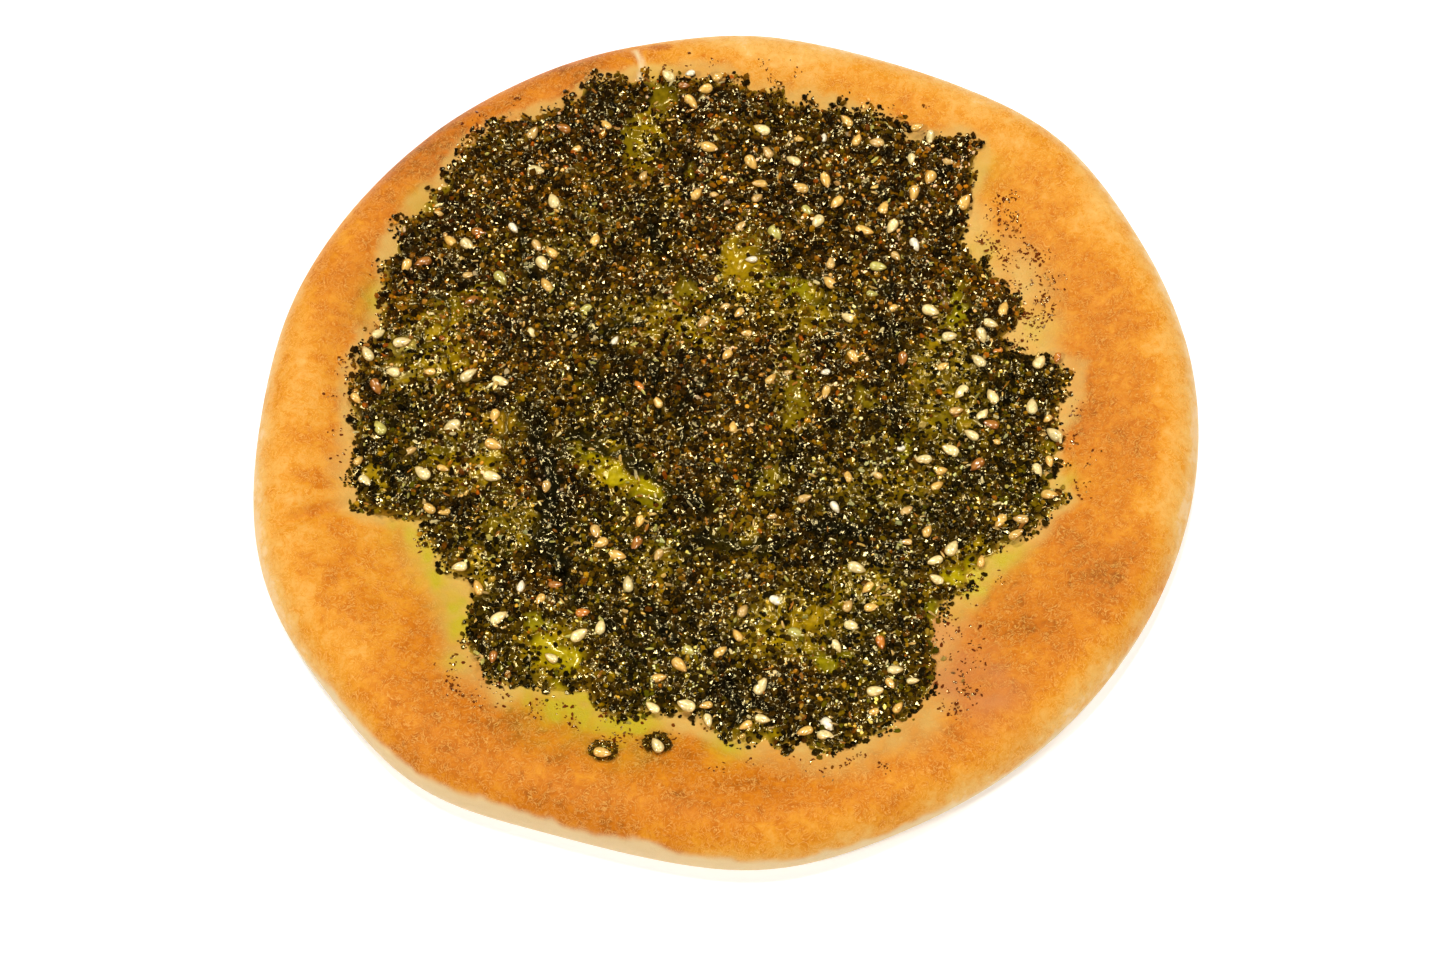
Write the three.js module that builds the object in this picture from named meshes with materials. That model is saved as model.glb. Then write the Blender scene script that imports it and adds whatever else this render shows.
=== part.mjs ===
// A round flatbread with a puffed rim, topped with zaatar and sesame seeds.
// Millimetres, +Z up. The origin is on the flat base, under the middle of the bread.
import * as THREE from 'three';

// The bread
const breadWidth = 174;           // across X
const breadDepth = 171;           // across Y
const middleHeight = 6.6;         // the pressed middle, under the topping
const rimHeight = 12;             // the rim where it is wide
const narrowRimDrop = 2.4;        // how much lower the rim is where it is narrow
const wideRim = 24;               // a rim this wide stands at its full height
const sideHeight = 4.8;           // the line round the side where the bread is widest
const edgeRound = 7;              // how far in from the side the rounding of the rim starts
const footInset = 4.5;            // how far in from the side the flat base starts
const pressedInset = 8;           // how far inside the topping's edge the rise to the rim starts
const middleWave = 0.2;           // slow unevenness of the pressed middle

// The topping
const toppingThickness = 2.2;     // over the middle
const toppingRimThickness = 1.3;  // at its edge
const toppingThinning = 14;       // how far in from its edge it starts to thin
const toppingEdgeInset = 1.4;     // how far in the rounding of its edge starts
const toppingGap = 0.3;           // between the topping and the bread
const toppingShift = 0.7;         // the topping lies this far behind the middle of the bread

// The seeds
const seedLength = 3.4;
const seedWidth = 1.9;
const seedThickness = 1.0;
const seedTaper = 0.3;            // how much narrower the pointed end is
const seedGap = 0.3;              // between a seed and the topping

// The stray clumps
const clumpLength = 6;
const clumpWidth = 4.5;
const clumpThickness = 1.6;

const segments = 72;              // steps round the bread
const clumpSegments = 12;
const smoothingSpan = 24;         // degrees each side that ease the edge of the pressed middle

// The size of bread that the lists of places below are drawn on
const drawnWidth = 174;
const drawnDepth = 171;

// Swells of the outline of the bread: direction in degrees, rise and spread
const drawnRadius = 83.6;
const outlineSwells = [
  { at: 12, rise: 3.3, spread: 36 },
  { at: 44, rise: 2.6, spread: 14 },
  { at: 86, rise: 0.5, spread: 8 },
  { at: 163, rise: 1.0, spread: 14 },
  { at: 203, rise: 4.9, spread: 22 },
  { at: 232, rise: 3.8, spread: 13 },
  { at: 275, rise: 1.8, spread: 13 },
];

// Corners of the topping's edge, anticlockwise from +X
const toppingCorners = [
  [61.5, 0], [64.5, 11], [62, 14], [54, 15.5], [54, 30], [50, 33], [44, 35], [48, 40],
  [46, 43], [47, 52], [50, 57], [45, 58], [38, 61.5], [31, 57.5], [30, 65], [18, 67.5],
  [7, 70.5], [-9, 75], [-16, 72.5], [-25, 72], [-32, 67], [-42, 62.5], [-50, 57], [-55, 50],
  [-65, 32], [-63.5, 24], [-70.5, 10], [-70, 0], [-67, -19], [-64, -22], [-55, -20.5],
  [-50, -31], [-46, -37], [-48, -46], [-42, -52], [-36, -55.7], [-28, -53], [-24, -60.5],
  [-15, -57.5], [-3, -60.5], [0.5, -65.5], [9, -64], [17, -67], [25, -64], [33, -59.5],
  [37.5, -51], [36, -47], [38.5, -38], [44, -30], [53, -24.5], [62, -17.5], [58.5, -12.5],
];

// Where each seed lies, and which way its long axis points in degrees
const seedPlaces = [
  [-36.5, 52.5, -10], [-33, 45.5, -70], [-49, 36, -45], [-57.5, 33, 20], [-34.8, 32, -60],
  [-34, 27.5, -60], [-42.5, 28.5, -55], [-67, 12.5, -60], [-65, 6, -65], [-60.7, 16, 5],
  [-48, 8.5, 35], [-42, 7, -20], [-50.7, -2.2, 25], [-64, -2.5, -60], [-55.7, -12, -40],
  [-43, -6, -25], [-43, -12.5, -10], [6.5, 61.5, -25], [-3.5, 57.5, -20], [4.5, 54, -60],
  [-7, 68, -50], [18.7, 50.5, -75], [13.8, 48.5, -20], [20.7, 45.6, 50], [17, 41, 60],
  [9, 38.5, -55], [29.7, 44.5, 65], [25.8, 39, -15], [35.3, 46.9, 80], [38.6, 50.3, 65],
  [45, 45.5, 60], [28.2, 31.2, -10], [37.8, 21.8, -20], [51.6, 22.8, 70], [47.2, 17, -75],
  [57.9, 11.4, 60], [43, 4.8, 50], [48.8, 4.2, -65], [56, 2.2, 85], [60, -3.6, -40],
  [40.6, -7.2, -25], [35.6, -9.2, 0], [45.3, -10.2, 40], [58.5, -16.6, -25], [40.4, -26.6, 60],
  [23.1, -30.9, -20], [12.1, -43.6, -25], [26.1, -55, 10], [17.1, -63.8, -25], [5.8, -53.6, 60],
  [-7.5, -57.4, -20], [-8.6, -49.7, -45], [-26.6, -43.8, 35], [-41, -40.4, 40],
  [-18, -34, -85], [-20, -28.4, -10],
];

// Where the stray clumps lie on the front of the rim
const clumpPlaces = [
  { name: 'zaatar_clump_left', x: -22, y: -66.5, heading: 10 },
  { name: 'zaatar_clump_right', x: -12.5, y: -64.5, heading: -20 },
];

const scaleX = breadWidth / drawnWidth;
const scaleY = breadDepth / drawnDepth;

const breadMaterial = new THREE.MeshStandardMaterial({ color: 0xd58a3c, roughness: 0.6, metalness: 0 });
const toppingMaterial = new THREE.MeshStandardMaterial({ color: 0x3b2a12, roughness: 0.35, metalness: 0 });
const seedMaterial = new THREE.MeshStandardMaterial({ color: 0xe3c48c, roughness: 0.45, metalness: 0 });

const radians = (degrees) => THREE.MathUtils.degToRad(degrees);
const turnsBack = (angle) => THREE.MathUtils.euclideanModulo(angle, 2 * Math.PI);
const ease = (share) => THREE.MathUtils.smoothstep(share, 0, 1);

// Outline of the bread before it is centred: a circle with rounded swells
function drawnEdge(angle) {
  let radius = drawnRadius;
  for (const swell of outlineSwells) {
    const away = turnsBack(angle - radians(swell.at) + Math.PI) - Math.PI;
    radius += swell.rise * Math.exp(-((away / radians(swell.spread)) ** 2));
  }
  return radius;
}

// Middle and size of that outline, so that the bread can be centred and made its true size
function measureOutline() {
  const box = new THREE.Box2();
  for (let step = 0; step < 360; step++) {
    const angle = radians(step);
    const radius = drawnEdge(angle);
    box.expandByPoint(new THREE.Vector2(radius * Math.cos(angle), radius * Math.sin(angle)));
  }
  return { middle: box.getCenter(new THREE.Vector2()), size: box.getSize(new THREE.Vector2()) };
}

// An outline as corners with their directions and distances, in order of direction
function polarCorners(points) {
  const corners = points.map(([x, y]) => ({ angle: turnsBack(Math.atan2(y, x)), radius: Math.hypot(x, y) }));
  return corners.sort((a, b) => a.angle - b.angle);
}

// Distance from the middle to an outline in one direction, straight between its corners
function outlineRadius(corners, angle) {
  const wanted = turnsBack(angle);
  let next = corners.findIndex((corner) => corner.angle > wanted);
  if (next === -1) next = 0;
  const before = corners[(next + corners.length - 1) % corners.length];
  const after = corners[next];
  const span = turnsBack(after.angle - before.angle);
  return THREE.MathUtils.lerp(before.radius, after.radius, turnsBack(wanted - before.angle) / span);
}

function breadOutline() {
  const { middle, size } = measureOutline();
  const points = [];
  for (let step = 0; step < 360; step++) {
    const angle = radians(step);
    const radius = drawnEdge(angle);
    points.push([
      (radius * Math.cos(angle) - middle.x) * (breadWidth / size.x),
      (radius * Math.sin(angle) - middle.y) * (breadDepth / size.y),
    ]);
  }
  return polarCorners(points);
}

const onBread = ([x, y]) => [x * scaleX, (y + toppingShift) * scaleY];
const breadCorners = breadOutline();
const toppingOutline = polarCorners(toppingCorners.map(onBread));

const breadEdge = (angle) => outlineRadius(breadCorners, angle);
const toppingEdge = (angle) => outlineRadius(toppingOutline, angle);

// The pressed middle follows the topping's edge, eased over a span of directions
function pressedEdge(angle) {
  let sum = 0;
  let count = 0;
  for (let away = -smoothingSpan; away <= smoothingSpan; away += 4) {
    sum += toppingEdge(angle + radians(away));
    count += 1;
  }
  return sum / count - pressedInset;
}

const rimCrest = (angle) => breadEdge(angle) - edgeRound;

function crestHeight(angle) {
  const width = rimCrest(angle) - pressedEdge(angle);
  return rimHeight - narrowRimDrop * (1 - ease(width / wideRim));
}

// Height of the upper face inside the crest of the rim
function innerHeight(angle, radius) {
  const start = pressedEdge(angle);
  const rise = ease((radius - start) / (rimCrest(angle) - start));
  const x = radius * Math.cos(angle);
  const y = radius * Math.sin(angle);
  const wave = middleWave * Math.sin(x / 14 + 0.6) * Math.cos(y / 16 - 0.4);
  return middleHeight + wave * (1 - rise) + (crestHeight(angle) - middleHeight) * rise;
}

// Height of the upper face anywhere, with the round shoulder outside the crest
function breadTop(angle, radius) {
  const crest = rimCrest(angle);
  if (radius <= crest) return innerHeight(angle, radius);
  const share = Math.min(1, (radius - crest) / edgeRound);
  return sideHeight + (crestHeight(angle) - sideHeight) * Math.sqrt(1 - share * share);
}

// A turned shape whose every ring is put where place(ring, angle) says
function bentLathe(rings, steps, place) {
  const profile = [];
  for (let ring = 0; ring < rings; ring++) {
    const onAxis = ring === 0 || ring === rings - 1;
    profile.push(new THREE.Vector2(onAxis ? 0 : 1, ring));
  }
  const geometry = new THREE.LatheGeometry(profile, steps);
  const spots = geometry.attributes.position;
  for (let index = 0; index < spots.count; index++) {
    const angle = (2 * Math.PI * (Math.floor(index / rings) % steps)) / steps;
    spots.setXYZ(index, ...place(index % rings, angle));
  }
  geometry.computeVertexNormals();
  return geometry;
}

// Rings of the bread, from the middle of the base, out and up the side, to the middle of the top
function breadRings() {
  const rings = [];
  const baseRadius = (angle) => breadEdge(angle) - footInset;
  for (const share of [0, 0.5, 1]) {
    rings.push((angle) => [baseRadius(angle) * share, 0]);
  }
  for (const turn of [30, 60, 90]) {
    rings.push((angle) => [
      baseRadius(angle) + footInset * Math.sin(radians(turn)),
      sideHeight * (1 - Math.cos(radians(turn))),
    ]);
  }
  for (const turn of [67.5, 45, 22.5]) {
    rings.push((angle) => [
      rimCrest(angle) + edgeRound * Math.sin(radians(turn)),
      sideHeight + (crestHeight(angle) - sideHeight) * Math.cos(radians(turn)),
    ]);
  }
  for (const share of [1, 0.8, 0.6, 0.4, 0.2]) {
    rings.push((angle) => {
      const radius = THREE.MathUtils.lerp(pressedEdge(angle), rimCrest(angle), share);
      return [radius, innerHeight(angle, radius)];
    });
  }
  for (const share of [1, 0.84, 0.66, 0.45, 0.22, 0]) {
    rings.push((angle) => {
      const radius = pressedEdge(angle) * share;
      return [radius, innerHeight(angle, radius)];
    });
  }
  return rings;
}

function makeBread() {
  const rings = breadRings();
  const geometry = bentLathe(rings.length, segments, (ring, angle) => {
    const [radius, height] = rings[ring](angle);
    return [radius * Math.cos(angle), radius * Math.sin(angle), height];
  });
  const mesh = new THREE.Mesh(geometry, breadMaterial);
  mesh.name = 'bread';
  return mesh;
}

// Radii of the topping's rings: even over the pressed middle, closer on the rise to the rim
function toppingRadii(angle) {
  const outer = toppingEdge(angle) - toppingEdgeInset;
  const inner = Math.min(pressedEdge(angle), outer - 1);
  const middle = [0, 0.22, 0.45, 0.66, 0.84].map((share) => inner * share);
  const rise = [0, 0.34, 0.67, 1].map((share) => THREE.MathUtils.lerp(inner, outer, share));
  return [...middle, ...rise];
}

// The topping is thinner towards its edge
function toppingDepth(angle, radius) {
  const thinned = ease((radius - toppingEdge(angle) + toppingThinning) / toppingThinning);
  return THREE.MathUtils.lerp(toppingThickness, toppingRimThickness, thinned);
}

// Height of the topping's upper face
const toppingTop = (angle, radius) =>
  breadTop(angle, radius) + toppingGap + toppingDepth(angle, radius);

function makeTopping() {
  const count = toppingRadii(0).length;
  const rings = 2 * count + 1;
  const geometry = bentLathe(rings, segments, (ring, angle) => {
    const radii = toppingRadii(angle);
    let radius = toppingEdge(angle);
    let lift = toppingRimThickness / 2;
    if (ring < count) {
      radius = radii[ring];
      lift = 0;
    } else if (ring > count) {
      radius = radii[rings - 1 - ring];
      lift = toppingDepth(angle, radius);
    }
    const height = breadTop(angle, radius) + toppingGap + lift;
    return [radius * Math.cos(angle), radius * Math.sin(angle), height];
  });
  const mesh = new THREE.Mesh(geometry, toppingMaterial);
  mesh.name = 'zaatar_topping';
  return mesh;
}

// A small lens of topping lying on the rim, its underside following the bread
function makeClump({ name, x, y, heading }) {
  const [middleX, middleY] = onBread([x, y]);
  const turn = radians(heading);
  const shares = [0, 0.6, 1, 0.6, 0];
  const lifts = [0, 0, clumpThickness * 0.4, clumpThickness * 0.85, clumpThickness];
  const geometry = bentLathe(shares.length, clumpSegments, (ring, angle) => {
    const along = (clumpLength / 2) * shares[ring] * Math.cos(angle);
    const across = (clumpWidth / 2) * shares[ring] * Math.sin(angle);
    const px = middleX + along * Math.cos(turn) - across * Math.sin(turn);
    const py = middleY + along * Math.sin(turn) + across * Math.cos(turn);
    return [px, py, breadTop(Math.atan2(py, px), Math.hypot(px, py)) + toppingGap + lifts[ring]];
  });
  const mesh = new THREE.Mesh(geometry, toppingMaterial);
  mesh.name = name;
  return mesh;
}

// A flattened drop: a sphere drawn out along X and narrowed towards one end
function seedGeometry() {
  const geometry = new THREE.SphereGeometry(0.5, 8, 4);
  geometry.rotateZ(-Math.PI / 2);
  const spots = geometry.attributes.position;
  for (let index = 0; index < spots.count; index++) {
    const along = spots.getX(index);
    const narrow = 1 - seedTaper * (along + 0.5);
    spots.setXYZ(
      index,
      along * seedLength,
      spots.getY(index) * seedWidth * narrow,
      spots.getZ(index) * seedThickness,
    );
  }
  geometry.computeVertexNormals();
  return geometry;
}

// The direction the topping faces at a spot, from its slope each way
function toppingNormal(x, y) {
  const reach = seedLength / 2;
  const height = (px, py) => toppingTop(Math.atan2(py, px), Math.hypot(px, py));
  const slopeX = (height(x + reach, y) - height(x - reach, y)) / (2 * reach);
  const slopeY = (height(x, y + reach) - height(x, y - reach)) / (2 * reach);
  return new THREE.Vector3(-slopeX, -slopeY, 1).normalize();
}

function makeSeed(geometry, [x, y, heading], number) {
  const [placeX, placeY] = onBread([x, y]);
  const up = toppingNormal(placeX, placeY);
  const lift = seedThickness / 2 + seedGap;
  const ground = toppingTop(Math.atan2(placeY, placeX), Math.hypot(placeX, placeY));
  const mesh = new THREE.Mesh(geometry, seedMaterial);
  mesh.name = `sesame_seed_${String(number).padStart(2, '0')}`;
  mesh.position.set(placeX, placeY, ground).addScaledVector(up, lift);
  const tilt = new THREE.Quaternion().setFromUnitVectors(new THREE.Vector3(0, 0, 1), up);
  const turn = new THREE.Quaternion().setFromAxisAngle(new THREE.Vector3(0, 0, 1), radians(heading));
  mesh.quaternion.multiplyQuaternions(tilt, turn);
  return mesh;
}

const group = new THREE.Group();
group.add(makeBread());
group.add(makeTopping());
for (const clump of clumpPlaces) group.add(makeClump(clump));

const seed = seedGeometry();
seedPlaces.forEach((place, index) => group.add(makeSeed(seed, place, index + 1)));

export default group;
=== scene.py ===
import math

import bpy
import numpy as np
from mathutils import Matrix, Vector


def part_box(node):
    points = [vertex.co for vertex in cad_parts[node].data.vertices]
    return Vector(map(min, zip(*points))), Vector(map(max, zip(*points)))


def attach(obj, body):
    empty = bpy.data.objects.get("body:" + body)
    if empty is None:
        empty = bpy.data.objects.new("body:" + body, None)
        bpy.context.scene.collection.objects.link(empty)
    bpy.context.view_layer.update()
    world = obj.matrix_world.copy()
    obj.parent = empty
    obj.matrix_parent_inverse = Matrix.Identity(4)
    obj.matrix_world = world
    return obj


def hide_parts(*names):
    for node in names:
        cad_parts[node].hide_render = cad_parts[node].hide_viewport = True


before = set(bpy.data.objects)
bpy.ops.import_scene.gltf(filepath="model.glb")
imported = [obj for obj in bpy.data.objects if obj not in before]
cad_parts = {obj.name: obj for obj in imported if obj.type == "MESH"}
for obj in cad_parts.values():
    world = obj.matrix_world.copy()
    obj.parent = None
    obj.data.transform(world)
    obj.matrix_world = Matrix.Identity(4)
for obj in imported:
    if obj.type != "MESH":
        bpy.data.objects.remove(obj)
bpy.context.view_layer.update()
mm = 0.001  # shapes are worked out in millimetres and written in metres
print("frame loaded:", len(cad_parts), "nodes")


def ease(share):
    share = np.clip(share, 0.0, 1.0)
    return share * share * (3 - 2 * share)


def mix(a, b, share):
    return a + (b - a) * share


def tone(red, green, blue):
    # an 0-255 screen colour as linear light
    screen = np.array([red, green, blue]) / 255.0
    return np.where(screen <= 0.04045, screen / 12.92, ((screen + 0.055) / 1.055) ** 2.4)


# large odd numbers that mix a spot's column, row and seed
spotFactors = (374761393, 668265263, 974634777, 1274126177)
spotBits, valueBits = 0xFFFFFFFF, 0xFFFFFF


def latticeValue(column, row, seed):
    # an even 0..1 number for each whole-number spot, mixed from its column, row and seed
    byColumn, byRow, bySeed, byTurn = spotFactors
    mixed = (column.astype(np.int64) * byColumn + row.astype(np.int64) * byRow + seed * bySeed) & spotBits
    mixed = ((mixed ^ (mixed >> 13)) * byTurn) & spotBits
    mixed = ((mixed ^ (mixed >> 16)) * byRow) & spotBits
    return ((mixed ^ (mixed >> 15)) & valueBits) / valueBits


def smoothNoise(x, y, cell, seed):
    # lattice values eased between their spots, -1..1
    column, row = np.floor(x / cell), np.floor(y / cell)
    across, along = ease(x / cell - column), ease(y / cell - row)
    low = mix(latticeValue(column, row, seed), latticeValue(column + 1, row, seed), across)
    high = mix(latticeValue(column, row + 1, seed), latticeValue(column + 1, row + 1, seed), across)
    return 2 * mix(low, high, along) - 1


layerShift = (7.3, -4.1)  # moves each finer layer on, so that the cells of two layers don't line up


def layeredNoise(x, y, cell, layers, seed):
    # smooth noise at ever finer cells, each half as strong as the last
    shiftX, shiftY = layerShift
    total, weight = np.zeros_like(x), 0.0
    for layer in range(layers):
        part = 0.5 ** layer
        shiftedX, shiftedY = x + shiftX * layer, y + shiftY * layer
        total = total + part * smoothNoise(shiftedX, shiftedY, cell * part, seed + layer)
        weight += part
    return total / weight


def grains(x, y, cell, seed):
    # round bumps, one in each cell at a random spot: the highest bump wins and gives its own random mark
    column, row = np.floor(x / cell), np.floor(y / cell)
    height, mark = np.zeros_like(x), np.zeros_like(x)
    for across in (-1, 0, 1):
        for along in (-1, 0, 1):
            spot = (column + across, row + along)
            middleX = (spot[0] + 0.15 + 0.7 * latticeValue(*spot, seed)) * cell
            middleY = (spot[1] + 0.15 + 0.7 * latticeValue(*spot, seed + 1)) * cell
            size = cell * (0.45 + 0.4 * latticeValue(*spot, seed + 2))
            away = ((x - middleX) ** 2 + (y - middleY) ** 2) / size ** 2
            bump = np.sqrt(np.clip(1 - away, 0, 1)) * (0.55 + 0.45 * latticeValue(*spot, seed + 3))
            wins = bump > height
            height = np.where(wins, bump, height)
            mark = np.where(wins, latticeValue(*spot, seed + 4), mark)
    return height, mark


def ovalShare(x, y, middleX, middleY, halfLength, halfWidth, heading):
    # 1 in the middle of a turned oval, 0 at its edge and negative outside
    turn = math.radians(heading)
    along = (x - middleX) * math.cos(turn) + (y - middleY) * math.sin(turn)
    across = (y - middleY) * math.cos(turn) - (x - middleX) * math.sin(turn)
    return 1 - np.sqrt((along / halfLength) ** 2 + (across / halfWidth) ** 2)


def distanceToPath(x, y, path):
    # least distance to a chain of straight lines
    least = np.full(x.shape, 1e9)
    for (ax, ay), (bx, by) in zip(path[:-1], path[1:]):
        dx, dy = bx - ax, by - ay
        share = np.clip(((x - ax) * dx + (y - ay) * dy) / (dx * dx + dy * dy), 0, 1)
        least = np.minimum(least, np.hypot(x - ax - share * dx, y - ay - share * dy))
    return least


def closedGrid(rings, steps):
    # faces of a closed skin: one point, rings of points, one point, in order outwards then under
    index = 1 + np.arange((rings - 2) * steps).reshape(rings - 2, steps)
    onward = np.roll(index, -1, axis=1)
    quads = np.stack([index[:-1], index[1:], onward[1:], onward[:-1]], axis=-1).reshape(-1, 4)
    first = np.stack([np.zeros(steps, int), index[0], onward[0]], axis=-1)
    last = np.full(steps, 1 + (rings - 2) * steps)
    final = np.stack([index[-1], last, onward[-1]], axis=-1)
    return quads, np.concatenate([first, final])


def alongRings(rings):
    # one entry for each point of a closed skin, whose first and last rings are single points
    return np.concatenate([rings[0, :1], rings[1:-1].reshape(-1, *rings.shape[2:]), rings[-1, :1]])


def ringPoints(x, y, z):
    return np.stack([alongRings(x), alongRings(y), alongRings(z)], axis=-1)


def clippedGrid(spacing, reach, inside):
    # a level square grid, kept where its cells are inside; a second rim below it and a cone from that
    # rim to one point close it
    line = np.arange(-reach, reach, spacing)
    x, y = np.meshgrid(line, line)
    index = np.arange(x.size).reshape(x.shape)
    quads = np.stack([index[:-1, :-1], index[:-1, 1:], index[1:, 1:], index[1:, :-1]], axis=-1)
    quads = quads[inside(x[:-1, :-1] + spacing / 2, y[:-1, :-1] + spacing / 2)]
    used, quads = np.unique(quads, return_inverse=True)
    quads = quads.reshape(-1, 4)
    starts, ends = quads.reshape(-1), np.roll(quads, -1, axis=1).reshape(-1)
    border = ~np.isin(starts * used.size + ends, ends * used.size + starts)
    starts, ends = starts[border], ends[border]
    rim = np.unique(starts)
    lowStarts, lowEnds = (used.size + np.searchsorted(rim, corner) for corner in (starts, ends))
    side = np.stack([ends, starts, lowStarts, lowEnds], axis=-1)
    cone = np.stack([lowEnds, lowStarts, np.full(len(starts), used.size + len(rim))], axis=-1)
    return x.reshape(-1)[used], y.reshape(-1)[used], rim, [quads, side, cone]


def makeMesh(name, points, faceGroups, material, smooth=True, colours=None, values=None):
    # points in millimetres; faceGroups are arrays of faces with 3 or 4 corners
    mesh = bpy.data.meshes.new(name)
    corners = np.concatenate([faces.reshape(-1) for faces in faceGroups])
    sizes = np.concatenate([np.full(len(faces), faces.shape[1]) for faces in faceGroups])
    mesh.vertices.add(len(points))
    mesh.vertices.foreach_set("co", (points * mm).astype(np.float32).reshape(-1))
    mesh.loops.add(len(corners))
    mesh.loops.foreach_set("vertex_index", corners.astype(np.int32))
    mesh.polygons.add(len(sizes))
    mesh.polygons.foreach_set("loop_start", np.concatenate([[0], np.cumsum(sizes)[:-1]]).astype(np.int32))
    mesh.polygons.foreach_set("use_smooth", np.full(len(sizes), smooth))
    mesh.update(calc_edges=True)
    if colours is not None:
        layer = mesh.color_attributes.new("tint", "FLOAT_COLOR", "POINT")
        full = np.concatenate([colours, np.ones((len(colours), 1))], axis=1)
        layer.data.foreach_set("color", full.astype(np.float32).reshape(-1))
    for key, numbers in (values or {}).items():
        mesh.attributes.new(key, "FLOAT", "POINT").data.foreach_set("value", numbers.astype(np.float32))
    mesh.validate()
    piece = bpy.data.objects.new(name, mesh)
    bpy.context.scene.collection.objects.link(piece)
    mesh.materials.append(material)
    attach(piece, "root")
    return piece


outlineSteps = 72  # directions that the frame's bread and topping have points in
outlineWaves = 20  # the slow waves kept, so that the frame's straight edges turn into a curve


def nodePoints(name):
    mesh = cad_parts[name].data
    flat = np.zeros(len(mesh.vertices) * 3, np.float32)
    mesh.vertices.foreach_get("co", flat)
    return flat.reshape(-1, 3).astype(float) / mm


def nodeOutline(name):
    points = nodePoints(name)
    radius = np.hypot(points[:, 0], points[:, 1])
    step = np.round(np.arctan2(points[:, 1], points[:, 0]) / (2 * np.pi / outlineSteps)).astype(int)
    radii = np.zeros(outlineSteps)
    np.maximum.at(radii, step % outlineSteps, radius)
    return radii


breadRadii = nodeOutline("bread")
toppingRadii = nodeOutline("zaatar_topping")
breadWaves = np.fft.rfft(breadRadii)[:outlineWaves] / outlineSteps
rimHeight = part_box("bread")[1].z / mm


def breadEdge(angle):
    # the frame's outline as a sum of waves round the bread
    total = np.full(angle.shape, breadWaves[0].real)
    for count in range(1, len(breadWaves)):
        total += 2 * (breadWaves[count] * np.exp(1j * count * angle)).real
    return total


def toppingEdge(angle):
    places = np.arange(outlineSteps) * 2 * np.pi / outlineSteps
    return np.interp(angle, places, toppingRadii, period=2 * np.pi)


breadShape = {
    "middleHeight": 6.6,
    "narrowRimDrop": 2.4,  # how much lower the rim is where it is narrow
    "wideRim": 24.0,
    "sideHeight": 4.8,
    "edgeRound": 7.0,
    "footInset": 4.5,
    "pressedInset": 8.0,
    "smoothingSpan": 24,  # degrees
    "smoothingStep": 4,
    "steps": 720,
    "middleRings": 8,
    "riseRings": 54,
    "shoulderRings": 26,
    "underRings": 12,
    "baseRings": 26,
    "swell": 0.34,  # slow unevenness of the rim
    "ripple": 0.13,
    "pucker": 0.035,
    "blisters": 70,
    "blisterReach": (1.2, 4.2),
    "blisterRise": (0.05, 0.26),
    "blisterRoom": (4.0, 5.0),  # kept clear of blisters beside the pressed middle and at the edge
}

# folds and creases of the crust: path, width, and how far it rises or sinks
crustFolds = [
    {"path": [(-66, -17.5), (-74, -19.5), (-82, -23)], "width": 1.3, "rise": -0.8},
    {"path": [(-67, -14.5), (-76, -16), (-83, -18)], "width": 2.0, "rise": 0.5},
    {"path": [(-18, 80), (-16.8, 77.2), (-16.5, 75.2), (-17, 73.5)], "width": 0.6, "rise": -0.45},
    {"path": [(20, -71), (28, -76), (38, -77)], "width": 4.0, "rise": -0.3},
    {"path": [(62, 45), (68, 38), (72, 28)], "width": 5.0, "rise": -0.3},
]


def pressedEdge(angle):
    # inside the topping's edge, which is evened out over a span of directions
    span, step = breadShape["smoothingSpan"], breadShape["smoothingStep"]
    edges = [toppingEdge(angle + math.radians(away)) for away in range(-span, span + 1, step)]
    return sum(edges) / len(edges) - breadShape["pressedInset"]


def rimCrest(angle):
    return breadEdge(angle) - breadShape["edgeRound"]


def crestHeight(angle):
    width = rimCrest(angle) - pressedEdge(angle)
    return rimHeight - breadShape["narrowRimDrop"] * (1 - ease(width / breadShape["wideRim"]))


blisterDice = np.random.default_rng(11)
blisterAngles = blisterDice.uniform(0, 2 * np.pi, breadShape["blisters"])
blisterShares = blisterDice.uniform(0.1, 1.0, breadShape["blisters"])
blisterReaches = blisterDice.uniform(*breadShape["blisterReach"], breadShape["blisters"])
blisterRises = blisterDice.uniform(*breadShape["blisterRise"], breadShape["blisters"])
innerRoom, outerRoom = breadShape["blisterRoom"]
blisterLow, blisterHigh = pressedEdge(blisterAngles) + innerRoom, breadEdge(blisterAngles) - outerRoom
blisterRadii = mix(blisterLow, blisterHigh, blisterShares)
blisterX, blisterY = blisterRadii * np.cos(blisterAngles), blisterRadii * np.sin(blisterAngles)


def crustRelief(x, y):
    # slow swells, finer ripples, low round blisters and the folds, in millimetres
    relief = breadShape["swell"] * layeredNoise(x, y, 24.0, 2, 31)
    relief += breadShape["ripple"] * smoothNoise(x, y, 8.0, 41)
    relief += breadShape["pucker"] * smoothNoise(x, y, 2.6, 47)
    for middleX, middleY, reach, rise in zip(blisterX, blisterY, blisterReaches, blisterRises):
        relief += rise * np.exp(-((x - middleX) ** 2 + (y - middleY) ** 2) / reach ** 2)
    for fold in crustFolds:
        relief += fold["rise"] * np.exp(-((distanceToPath(x, y, fold["path"]) / fold["width"]) ** 2))
    return relief


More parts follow.
